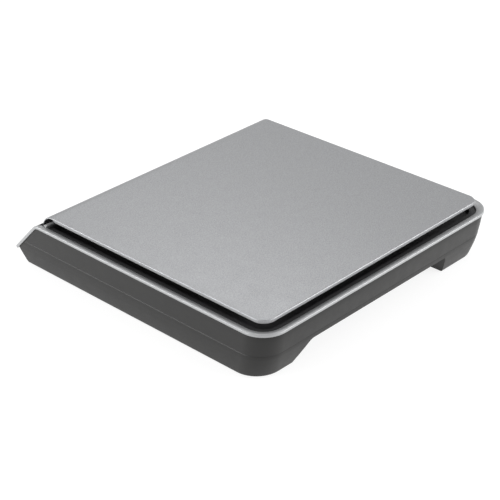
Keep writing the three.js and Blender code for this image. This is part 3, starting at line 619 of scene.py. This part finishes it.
# ---- base ----
def base_insets(z):
    """How far the base's sides and rear stand in from the bezel at a height above its underside."""
    depth = max(BASE_HIGH.z - z, 0.0)
    return 0.7 + 3.25 * (depth / 50.3) ** 3, 1.0 + 0.1 * depth + 0.003 * depth ** 2


def base_front(z):
    """The front line of the base: a straight undercut, rounded at its foot, then the slope."""
    tip_y, tip_z = BASE_TIP
    if z >= tip_z:
        return tip_y + 0.1 + (z - tip_z) / math.tan(SLOPE)
    height = max(z - BASE_LOW.z, 0.0)
    lean = (BASE_CORNER_Y - tip_y) / (tip_z - BASE_LOW.z)
    if height >= CORNER_ROUND:
        return BASE_CORNER_Y - lean * height
    turn = 1 - math.sqrt(height / CORNER_ROUND)
    start = BASE_CORNER_Y - lean * CORNER_ROUND
    end = BASE_CORNER_Y + 2.6
    return start * (1 - turn) ** 2 + 2 * BASE_CORNER_Y * turn * (1 - turn) + end * turn ** 2


def base_ring(z, wall, extra=0.0):
    """The base's outline at a height, as far inside its outer face as the wall and extra say."""
    side, rear = base_insets(z)
    front = base_front(z) + wall * (1.6 if z < BASE_TIP[1] else 1.0) + extra
    outline = plan(BEZEL_HIGH.x - side - wall - extra, front, BEZEL_HIGH.y - rear - wall - extra,
                   REAR_RADIUS - wall - extra, max(BASE_NOSE_RADIUS - extra, 0.3), 14)
    return [(x, y, z) for x, y in outline]


def recess_outline(grow):
    """The cable recess seen from behind, with its corners rounded, as (x, z) points."""
    bottom = BASE_LOW.z
    top = RECESS_TOP + grow
    left = RECESS_LEFT - grow
    right = RECESS_RIGHT + grow
    steep_radius, splayed_radius = 3.2, 8.0
    points = [(left, bottom - 6), (left + 0.5, bottom + 4.0), (left + 3.2, top - 4.0)]
    for step in range(7):
        turn = math.radians(172 - (172 - 90) * step / 6)
        points.append((left + 6.7 + steep_radius * math.cos(turn), top - steep_radius * (1 - math.sin(turn))))
    for step in range(7):
        turn = math.radians(90 - 45 * step / 6)
        points.append((right - 24.0 + splayed_radius * math.cos(turn),
                       top - splayed_radius * (1 - math.sin(turn))))
    points += [(right - 1.2, bottom + 1.6 + grow * 0.4), (right, bottom), (right + 4, bottom - 6)]
    return points


def base_walls():
    """The open shell: up the inside, over the top edge and down the outside past the crease."""
    bottom = BASE_LOW.z
    top = BASE_HIGH.z
    floor = bottom + BASE_WALL
    tip_levels = [17.4, 16.9]
    rings = [base_ring(z, BASE_WALL) for z in (floor, floor + 6, *tip_levels[::-1], 24, 34, 44, top - 0.3)]
    rings.append(base_ring(top, BASE_WALL - 0.3))
    upper = [(top, 1.5), (top - 0.9, 1.5), (top - 1.0, CREASE_STEP + 0.1), (top - 1.25, CREASE_STEP),
             (44, CREASE_STEP), (36, CREASE_STEP), (CREASE_Z + 0.42, CREASE_STEP), (CREASE_Z + 0.06, 0.02)]
    lower = [(z, 0.0) for z in (CREASE_Z, 22, *tip_levels, 15.5, 13, 10, 7.5, 5.5, 4.5, 3.6, bottom + 1.3)]
    rounding = [(bottom + 0.7, 0.1), (bottom + 0.25, 0.45), (bottom, 1.0)]
    rings += [base_ring(z, 0.0, extra) for z, extra in upper + lower + rounding]
    return rings_mesh(rings)


def recess_liner():
    """The block inside the base that walls off the cable recess."""
    hull = rings_mesh([base_ring(z, 0.0, 0.4) for z in (BASE_LOW.z + 0.5, 4, 8, 12, 16.9, 24, 34, 44)])
    liner = bmesh.new()
    add_prism(liner, recess_outline(2.0), extent("power_jack")[0].y + 11.9, BEZEL_HIGH.y, axis="y")
    return combine(liner, hull, "INTERSECT")


def base_openings(door_low, door_high):
    """Cutters for the battery bay, the door's seat, and the front behind the display and keys."""
    bottom = BASE_LOW.z
    top = BASE_HIGH.z
    holes = bmesh.new()
    add_box(holes, (-104.4, -62, bottom - PAST), (-56.6, -4, bottom + 18.2))
    behind_panel = [(-182.0, 27.5), (-171.6, 17.1), (-163.0, 17.1), (-130.0, top - 2.0), (-154.0, top + 2.0)]
    add_prism(holes, behind_panel, 6 - BEZEL_HIGH.x, BEZEL_HIGH.x - 6)
    add_box(holes, (door_low.x - 0.4, door_low.y - 1, bottom - PAST),
            (door_high.x + 0.4, door_high.y + 0.4, bottom + BASE_WALL))
    return holes


def base_sinks():
    """Cutters for what is sunk in the underside and for the sockets' windows."""
    bottom = BASE_LOW.z
    sinks = bmesh.new()
    round_sinks = [(f"housing_screw_{number}", 3.4, 3.6, 32) for number in range(1, 7)]
    round_sinks += [(f"cell_base_bolt_{number}", 3.4, 4.8, 32) for number in (1, 2)]
    round_sinks += [(foot, 1.5, 9.4, 48) for foot in FEET]
    for node, depth, radius, sides in round_sinks:
        x, y, _, _ = middle(node)
        add_post(sinks, x, y, bottom - PAST, bottom + depth, radius, sides)
    around = Vector((0.3, 0, 0.3))
    for socket in ("power_jack", "usb_port"):
        low, high = extent(socket)
        low.y, high.y = 122, 129
        add_box(sinks, low - around, high + around)
    return sinks


def base_shell():
    """The dark base: walls, the block round the cable recess, the battery bay and all openings."""
    bottom = BASE_LOW.z
    door_low, door_high = extent("battery_door")
    bay = bmesh.new()
    add_box(bay, (door_low.x - 3, door_low.y - 3.5, bottom + 0.2),
            (door_high.x + 3, door_high.y + 3, bottom + 20.2))
    liner = recess_liner()
    shell = combine(base_walls(), liner, "UNION")
    shell = combine(shell, bay, "UNION")
    recess = bmesh.new()
    add_prism(recess, recess_outline(0.0), RECESS_FRONT, BEZEL_HIGH.y + 5, axis="y")
    shell = combine(shell, recess, "DIFFERENCE")
    shell = combine(shell, base_openings(door_low, door_high), "DIFFERENCE")
    shell = combine(shell, base_sinks(), "DIFFERENCE")
    bmesh.ops.remove_doubles(shell, verts=shell.verts, dist=0.004)
    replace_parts(finish_mesh(shell, "base_shell", "base", "charcoal_base", 28), "lower_housing")


def feet():
    """Low rubber feet with two ring grooves in the tread."""
    for node in FEET:
        x, y, _, top = middle(node)
        radius = extent(node)[1].x - x
        bm = bmesh.new()
        lathe(bm, [(0, 0.35), (2.2, 0.35), (2.5, 0.0), (4.3, 0.0), (4.6, 0.5), (5.5, 0.5), (5.8, 0.0),
                   (radius - 1.3, 0.0), (radius - 0.6, 0.12), (radius - 0.15, 0.6), (radius, 1.2),
                   (radius, top), (0, top)], x, y, 56)
        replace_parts(finish_mesh(bm, node + "_tread", "base", "rubber", 50), node)


# ---- fixings ----
def housing_screws():
    """Pan heads with a cross recess, seen from underneath, on threaded shanks."""
    template = bmesh.new()
    head, shank = 3.2, 1.5
    lathe(template, [(0, 0), (1.5, 0.05), (2.5, 0.4), (3.05, 1.1), (head, 1.7), (head, 2.3),
                     (head - 0.15, 2.4), (shank, 2.4)] + thread(3.0, 17.4, shank) + [(0, 19.0)], sides=28)
    for reach, width in ((1.7, 0.35), (0.35, 1.65)):
        arm = bmesh.new()
        add_box(arm, (-reach, -width, -0.5), (reach, width, 1.3))
        template = combine(template, arm, "DIFFERENCE")
    for number in range(1, 7):
        node = f"housing_screw_{number}"
        x, y, z, _ = middle(node)
        bm = template.copy()
        turn = Matrix.Rotation(math.radians(23 * number), 4, "Z")
        bmesh.ops.transform(bm, matrix=Matrix.Translation((x, y, z)) @ turn, verts=bm.verts)
        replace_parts(finish_mesh(bm, node + "_pan_head", "base", "zinc_steel", 40), node)
    template.free()


def cell_bolts():
    """Low socket heads with a hexagon recess; the base pair points up and the top pair down."""
    head, shank = 4.2, 2.5
    rows = (("cell_base_bolt_1", "base", 1), ("cell_base_bolt_2", "base", 1),
            ("cell_top_bolt_1", "weigh_frame", -1), ("cell_top_bolt_2", "weigh_frame", -1))
    for node, body, way in rows:
        x, y, low, high = middle(node)
        length = high - low
        bm = bmesh.new()
        lathe(bm, [(0, 0), (head - 0.35, 0), (head, 0.35), (head, 2.3), (head - 0.1, 2.4), (shank, 2.4)]
              + thread(3.4, length - 1.2, shank) + [(shank - 0.6, length), (0, length)], sides=36)
        socket = bmesh.new()
        add_post(socket, 0, 0, -1.0, 1.6, 1.95, sides=6)
        bm = combine(bm, socket, "DIFFERENCE")
        flip = Matrix.Identity(4) if way > 0 else Matrix.Rotation(math.pi, 4, "X")
        seat = Matrix.Translation((x, y, low if way > 0 else high))
        bmesh.ops.transform(bm, matrix=seat @ flip, verts=bm.verts)
        bmesh.ops.recalc_face_normals(bm, faces=bm.faces)
        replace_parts(finish_mesh(bm, node + "_socket_head", body, "zinc_steel", 40), node)


def overload_stops():
    """Hexagon heads with a chamfer on threaded stems."""
    for number in range(1, 5):
        node = f"overload_stop_{number}"
        x, y, low, high = middle(node)
        bm = bmesh.new()
        lathe(bm, [(0, low), (1.9, low), (2.5, low + 0.6)] + thread(low + 0.8, high - 6.2, 2.5)
              + [(2.3, high - 5.9), (0, high - 5.9)], x, y, 28)
        hexagon = bmesh.new()
        add_post(hexagon, x, y, high - 6, high, 4.5, sides=6)
        dome = bmesh.new()
        lathe(dome, [(0, high - 7), (4.6, high - 7), (4.6, high - 0.75), (3.6, high), (0, high)], x, y, 36)
        hexagon = combine(hexagon, dome, "INTERSECT")
        mesh = bpy.data.meshes.new("stop_head")
        hexagon.to_mesh(mesh)
        hexagon.free()
        bm.from_mesh(mesh)
        bpy.data.meshes.remove(mesh)
        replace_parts(finish_mesh(bm, node + "_hex_head", "base", "zinc_steel", 35), node)


# ---- under the platter ----
def deck():
    """The black tray with softened edges and low stiffening ribs."""
    refined("deck_cover", "deck_tray", "base", "black_deck", 0.35, 2, 40)
    top = BASE_LOW.z + 44.0
    ribs = bmesh.new()
    for side in (-1, 1):
        for x in (34.0, 62.0, 140.0):
            rounded_stack(ribs, side * x, 12.0, 2.4, 250.0, 1.1,
                          [(0.0, top - 0.2), (0.0, top + 0.9), (0.3, top + 1.2), (0.6, top + 1.25)])
    finish_mesh(ribs, "deck_ribs", "base", "black_deck")


def support():
    """The cast cross: the CAD solid with pockets sunk in its arms and every edge rounded."""
    top = extent("platter_support")[1].z
    bm = merged_copy("platter_support")
    pads = [middle(f"support_pad_{number}")[:2] for number in range(1, 5)]
    pockets = bmesh.new()
    centre = Vector((sum(x for x, _ in pads) / 4, sum(y for _, y in pads) / 4, 0))
    for x, y in pads:
        arm = Vector((x, y, 0)) - centre
        start, end = 52.0, arm.length - 17.0
        spin = Matrix.Translation(centre) @ Matrix.Rotation(math.atan2(arm.y, arm.x), 4, "Z")
        levels = [(1.0, top - 3.2), (0.4, top - 2.9), (0.0, top - 2.4), (-0.3, top + 1)]
        rounded_stack(pockets, (start + end) / 2, 0, end - start, 14.0, 3.0, levels, spin)
    bm = combine(bm, pockets, "DIFFERENCE")
    soften(bm, 0.55, 2, 38)
    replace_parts(finish_mesh(bm, "support_cross", "weigh_frame", "cast_aluminium", 45), "platter_support")
    bosses = bmesh.new()
    for x, y in pads:
        lathe(bosses, [(0, top - 0.1), (10.2, top - 0.1), (9.8, top + 0.25), (0, top + 0.25)], x, y, 48)
    finish_mesh(bosses, "support_pad_seats", "weigh_frame", "cast_aluminium")


def support_pads():
    """Rubber pads with a rounded shoulder and a ring groove."""
    for number in range(1, 5):
        node = f"support_pad_{number}"
        x, y, low, high = middle(node)
        bm = bmesh.new()
        lathe(bm, [(0, low), (7.6, low), (8.0, low + 0.4), (8.0, high - 1.1), (7.7, high - 0.5),
                   (6.9, high - 0.15), (5.6, high), (4.2, high), (3.8, high - 0.6), (2.6, high - 0.6),
                   (2.2, high), (0, high)], x, y, 48)
        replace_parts(finish_mesh(bm, node + "_dome", "weigh_frame", "rubber", 50), node)


def weighing_parts():
    """The load cell's bar and the blocks above and below its ends."""
    refined("load_cell", "load_cell_bar", "base", "cell_aluminium", 0.5, 2, 40)
    for node, body in (("cell_base_spacer", "base"), ("cell_top_spacer", "weigh_frame")):
        refined(node, node + "_block", body, "zinc_steel", 0.4, 2, 40)


# ---- display and keys ----
def window_pane():
    """The clear pane that fills the panel's window."""
    bm = bmesh.new()
    rounded_stack(bm, WINDOW_X, WINDOW_Y, WINDOW_WIDTH - 0.6, WINDOW_HEIGHT - 0.6, 1.0,
                  [(0.2, -2.8), (0.0, -2.6), (0.0, -0.75), (0.12, -0.5), (0.35, -0.4)], PANEL)
    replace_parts(finish_mesh(bm, "window_pane", "base", "window"), "display_window")


def digit_segments(bm, x, y, width, height, z):
    """The seven bars of one digit, each with pointed ends."""
    thick = 0.75
    half_w, half_h = width / 2, height / 2
    bars = [(0, half_h, width, 0), (0, 0, width, 0), (0, -half_h, width, 0),
            (-half_w, half_h / 2, half_h, 90), (half_w, half_h / 2, half_h, 90),
            (-half_w, -half_h / 2, half_h, 90), (half_w, -half_h / 2, half_h, 90)]
    for u, v, length, turn in bars:
        reach = length / 2 - 0.35
        outline = [(-reach, 0), (thick - reach, thick), (reach - thick, thick), (reach, 0),
                   (reach - thick, -thick), (thick - reach, -thick)]
        made = add_prism(bm, outline, z, z + 0.08, axis="z")
        shift = Matrix.Translation((x + u, y + v, 0)) @ Matrix.Rotation(math.radians(turn), 4, "Z")
        bmesh.ops.transform(bm, matrix=PANEL @ shift, verts=made)


def display():
    """A black surround, the grey-green glass in it, and the faint bars of unlit digits."""
    glass = bmesh.new()
    rounded_stack(glass, WINDOW_X, DISPLAY_Y, 78.0, 20.0, 0.5,
                  [(0.3, -7.2), (0.0, -7.0), (0.0, -3.75), (0.15, -3.6)], PANEL)
    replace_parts(finish_mesh(glass, "lcd_glass", "base", "lcd"), "lcd_module")
    surround = bmesh.new()
    rounded_stack(surround, WINDOW_X, DISPLAY_Y, 85.0, 29.5, 0.8,
                  [(0.3, -7.0), (0.0, -6.8), (0.0, -3.6), (0.3, -3.3)], PANEL)
    hole = bmesh.new()
    rounded_stack(hole, WINDOW_X, DISPLAY_Y, 70.0, 18.0, 1.0, [(0.0, -9.0), (0.0, -3.5), (-0.6, -2.0)], PANEL)
    surround = combine(surround, hole, "DIFFERENCE")
    finish_mesh(surround, "lcd_surround", "base", "socket_black")
    digits = bmesh.new()
    for place_number in range(5):
        digit_segments(digits, WINDOW_X - 24 + 12 * place_number, DISPLAY_Y, 6.6, 12.0, -3.6)
    finish_mesh(digits, "lcd_digits", "base", "lcd", look="lcd_off")


def bar(half, v=0.0, half_height=0.3):
    """The outline of a bar on a key, at a height v above the key's middle."""
    low, high = v - half_height, v + half_height
    return [(-half, low), (half, low), (half, high), (-half, high)]


def arc(radius, angles):
    """Points on an arc round a key's middle."""
    return [(radius * math.cos(math.radians(a)), radius * math.sin(math.radians(a))) for a in angles]


def key_mark(bm, kind, x):
    """A small raised sign on a key: a ring with a bar, a bar, two bars, or a square."""
    low, high = 0.70, 0.98
    if kind == "power_key":
        ring = arc(1.9, range(120, 421, 12)) + arc(1.4, range(420, 119, -12))
        outlines = [ring, bar(0.25, 1.45, 0.95)]
    elif kind == "tare_key":
        outlines = [bar(2.0)]
    elif kind == "unit_key":
        outlines = [bar(2.0, v) for v in (-0.8, 0.8)]
    else:
        outlines = [bar(1.4, 0.0, 1.4)]
    for outline in outlines:
        made = add_prism(bm, [(x + u, v) for u, v in outline], low, high, axis="z")
        bmesh.ops.transform(bm, matrix=PANEL, verts=made)


def keys():
    """Key caps with a shallow dish, rounded shoulders and a hidden flange, and a raised mark each."""
    for node, x in KEYS.items():
        bm = bmesh.new()
        wide, tall = KEY_WIDTH - 0.7, KEY_HEIGHT - 0.7
        rounded_stack(bm, x, 0, wide, tall, 1.5, [
            (-1.0, -4.6), (-1.0, -3.4), (-0.9, -3.3), (0.0, -3.3), (0.0, 0.35), (0.12, 0.75), (0.4, 1.0),
            (0.85, 1.1), (1.4, 1.06), (2.2, 0.96), (3.2, 0.88), (4.4, 0.84)], PANEL, 8)
        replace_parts(finish_mesh(bm, node + "_cap", node, "key_plastic", 50), node)
        mark = bmesh.new()
        key_mark(mark, node, x)
        finish_mesh(mark, node + "_mark", node, "silver_bezel")


def panel_parts():
    """What stands behind the panel: the rubber sheet under the keys, and the board with its screws."""
    refined("keypad_membrane", "keypad_sheet", "base", "rubber", 0.4)
    refined("display_board", "display_board_sheet", "base", "circuit_board", 0.15)
    for number in (1, 2, 3):
        node = f"board_screw_{number}"
        refined(node, node + "_head", "base", "zinc_steel", 0.15, 2, 40)


# ---- electronics and battery bay ----
def electronics():
    """The main board with plain chips, the two sockets and the flat cable."""
    refined("main_board", "main_board_sheet", "base", "circuit_board", 0.12)
    x, y, low, _ = middle("main_board")
    top = low + 1.6
    levels = [(0.0, top - 0.05), (0.0, top + 0.6), (0.15, top + 0.75)]
    chips = bmesh.new()
    for column in range(5):
        for row in range(3):
            rounded_stack(chips, x + 4 + column * 4.4, y - 20 + row * 5.2, 2.4, 1.4, 0.2, levels)
    finish_mesh(chips, "main_board_chips", "base", "socket_black")
    refined("power_jack", "power_jack_body", "base", "socket_black", 0.3, 2, 40)
    refined("usb_port", "usb_port_shell", "base", "socket_metal", 0.3, 2, 40)
    refined("ribbon_cable", "ribbon_flat", "base", "ribbon", 0.15, 1, 60)


def battery_cells():
    """AA cells: a plain sleeve, a bare rim at each end and a nub at the positive end."""
    for number in range(1, 4):
        node = f"battery_cell_{number}"
        low, high = extent(node)
        x, z = (low.x + high.x) / 2, (low.z + high.z) / 2
        radius = (high.x - low.x) / 2
        length = high.y - low.y
        stand = Matrix.Translation((x, low.y, z)) @ Matrix.Rotation(-math.pi / 2, 4, "X")
        if number % 2 == 0:
            stand = Matrix.Translation((x, high.y, z)) @ Matrix.Rotation(math.pi / 2, 4, "X")
        body = length - 1.5
        sleeve = bmesh.new()
        lathe(sleeve, [(0, 0.4), (radius - 1.2, 0.4), (radius - 0.7, 0.15), (radius - 0.25, 0.35),
                       (radius, 0.9), (radius, body - 0.9), (radius - 0.25, body - 0.3),
                       (radius - 0.8, body - 0.1), (radius - 1.4, body - 0.3), (0, body - 0.3)], matrix=stand)
        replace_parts(finish_mesh(sleeve, node + "_sleeve", "base", "cell_wrap", 40), node)
        ends = bmesh.new()
        lathe(ends, [(0, body - 0.35), (5.6, body - 0.35), (5.6, body - 0.05), (3.2, body),
                     (2.75, body + 0.2), (2.7, body + 1.2), (2.4, body + 1.5), (0, body + 1.5)], matrix=stand)
        lathe(ends, [(0, 0.0), (5.0, 0.0), (5.6, 0.2), (5.6, 0.5), (0, 0.5)], matrix=stand)
        finish_mesh(ends, node + "_ends", "base", "zinc_steel", 40)


def battery_contacts():
    """Contact plates with a coil spring for each negative end and a dimple for each positive one."""
    for node, way, spring_rows in (("battery_contact_front", 1, (1, 3)), ("battery_contact_rear", -1, (2,))):
        low, high = extent(node)
        wall = low.y if way > 0 else high.y
        z = (low.z + high.z) / 2
        bm = bmesh.new()
        inner = wall + way * 0.6
        add_box(bm, (low.x, min(wall, inner), low.z), (high.x, max(wall, inner), high.z))
        soften(bm, 0.2, 2)
        for number in range(1, 4):
            x = middle(f"battery_cell_{number}")[0]
            if number in spring_rows:
                coil = []
                for step in range(61):
                    turn = math.tau * 3 * step / 60
                    radius = 3.4 - 1.2 * step / 60
                    coil.append((x + radius * math.cos(turn), wall + way * (0.75 + 1.6 * step / 60),
                                 z + radius * math.sin(turn)))
                add_tube(bm, coil, 0.3, 8)
            else:
                stand = Matrix.Translation((x, wall, z)) @ Matrix.Rotation(-way * math.pi / 2, 4, "X")
                lathe(bm, [(0, 0.4), (3.0, 0.4), (2.8, 0.9), (2.0, 1.4), (0, 1.5)], matrix=stand)
        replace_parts(finish_mesh(bm, node + "_springs", "base", "zinc_steel", 40), node)


def battery_door():
    """The door with rounded corners, and a thumb recess with grip ribs."""
    low, high = extent("battery_door")
    width, depth = high.x - low.x, high.y - low.y
    x, y = (low.x + high.x) / 2, (low.y + high.y) / 2
    bm = bmesh.new()
    rounded_stack(bm, x, y, width, depth, 1.2, [(0.4, low.z), (0.1, low.z + 0.12), (0.0, low.z + 0.4),
                                                (0.0, high.z - 0.2), (0.2, high.z)])
    recess = bmesh.new()
    rounded_stack(recess, x, high.y - 9.5, width - 30, 13.0, 3.0,
                  [(-0.4, low.z - 1), (0.0, low.z), (0.6, low.z + 0.65), (1.0, low.z + 0.7)])
    bm = combine(bm, recess, "DIFFERENCE")
    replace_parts(finish_mesh(bm, "battery_door_panel", "battery_door", "charcoal_base", 32), "battery_door")
    grips = bmesh.new()
    for rib in range(4):
        rounded_stack(grips, x, high.y - 13.4 + rib * 2.6, width - 36, 1.1, 0.5,
                      [(0.2, low.z + 0.08), (0.0, low.z + 0.3), (0.0, low.z + 0.9)])
    finish_mesh(grips, "battery_door_grips", "battery_door", "charcoal_base")


# ---- stage ----
LIGHT_DISTANCE = 2.0            # metres, as all below
LIGHT_AIM_HEIGHT = 0.03
CAMERA_PLACE = (0.9636, 0.94245, 0.7701)
GROUND_DROP = 0.0002


def towards(azimuth, elevation):
    """The direction of a view or lamp from the scale: 0 is the front, 90 the right side."""
    a = math.radians(azimuth)
    e = math.radians(elevation)
    return Vector((math.sin(a) * math.cos(e), -math.cos(a) * math.cos(e), math.sin(e)))


def stage():
    """A plain pale floor, a little below the feet."""
    ground = bpy.data.meshes.new("ground")
    bm = bmesh.new()
    bmesh.ops.create_grid(bm, x_segments=1, y_segments=1, size=6.0)
    bm.to_mesh(ground)
    bm.free()
    floor = bpy.data.objects.new("ground", ground)
    scene.collection.objects.link(floor)
    floor.location.z = -GROUND_DROP
    grey = (0.22, 0.22, 0.22)
    finish = Finish("ground", grey, 0.9)
    finish.tint(finish.noise(0.7, 2.0), *shades(grey, 0.018))
    finish.shader.inputs["Emission Color"].default_value = (1.0, 1.0, 1.0, 1.0)
    finish.shader.inputs["Emission Strength"].default_value = 0.85
    ground.materials.append(finish.material)


def softbox(name, azimuth, elevation, width, height, power):
    """An area light that faces the scale."""
    back = towards(azimuth, elevation)
    light = bpy.data.lights.new(name, "AREA")
    light.shape = "RECTANGLE"
    light.size = width
    light.size_y = height
    light.energy = power
    lamp = bpy.data.objects.new(name, light)
    scene.collection.objects.link(lamp)
    lamp.location = back * LIGHT_DISTANCE + Vector((0, 0, LIGHT_AIM_HEIGHT))
    lamp.rotation_euler = back.to_track_quat("Z", "Y").to_euler()


def lighting():
    """A pale room that is dimmer on the side between the two main lamps, and three softboxes."""
    world = bpy.data.worlds.new("studio")
    scene.world = world
    world.use_nodes = True
    nodes = world.node_tree.nodes
    links = world.node_tree.links
    background = nodes["Background"]
    dim_side = nodes.new("ShaderNodeVectorMath")
    dim_side.operation = "DOT_PRODUCT"
    dim_side.inputs[1].default_value = towards(135, 10)
    links.new(nodes.new("ShaderNodeTexCoord").outputs["Generated"], dim_side.inputs[0])
    fade = nodes.new("ShaderNodeMapRange")
    fade.interpolation_type = "SMOOTHSTEP"
    for socket, value in (("From Min", 0.45), ("From Max", 1.0), ("To Min", 0.74), ("To Max", 0.40)):
        fade.inputs[socket].default_value = value
    links.new(dim_side.outputs["Value"], fade.inputs["Value"])
    links.new(fade.outputs["Result"], background.inputs["Strength"])
    background.inputs["Color"].default_value = (1.0, 1.0, 1.0, 1.0)
    softbox("left_light", 60, 14, 1.4, 0.7, 28)
    softbox("right_light", 212, 14, 1.4, 0.7, 31)
    softbox("top_light", 322, 56, 0.9, 0.9, 6.0)


def camera():
    """A long lens from behind the right side and above, rolled very slightly."""
    back = towards(134.53, 29.49)
    roll = math.radians(-1.31)
    right = (-back).cross(Vector((0, 0, 1))).normalized()
    up = right.cross(-back)
    rolled_right = right * math.cos(roll) + up * math.sin(roll)
    rolled_up = -right * math.sin(roll) + up * math.cos(roll)
    data = bpy.data.cameras.new("camera")
    data.lens = 107.07
    data.sensor_width = 36.0
    data.clip_end = 50.0
    eye = bpy.data.objects.new("camera", data)
    scene.collection.objects.link(eye)
    turn = Matrix((rolled_right, rolled_up, back)).transposed().to_4x4()
    eye.matrix_world = Matrix.Translation(CAMERA_PLACE) @ turn
    scene.camera = eye


camera()
lighting()
stage()
scene.view_settings.view_transform = "Standard"
for entry in frame["record"]["subparts"]:
    node = frame["nodes"][entry["node"]]
    node.data.materials.clear()
    node.data.materials.append(MATERIALS[entry["material_slot"]])
platter_sheet()
bezel_cap()
bezel_inside()
base_shell()
feet()
housing_screws()
cell_bolts()
overload_stops()
deck()
support()
support_pads()
weighing_parts()
window_pane()
display()
keys()
panel_parts()
electronics()
battery_cells()
battery_contacts()
battery_door()
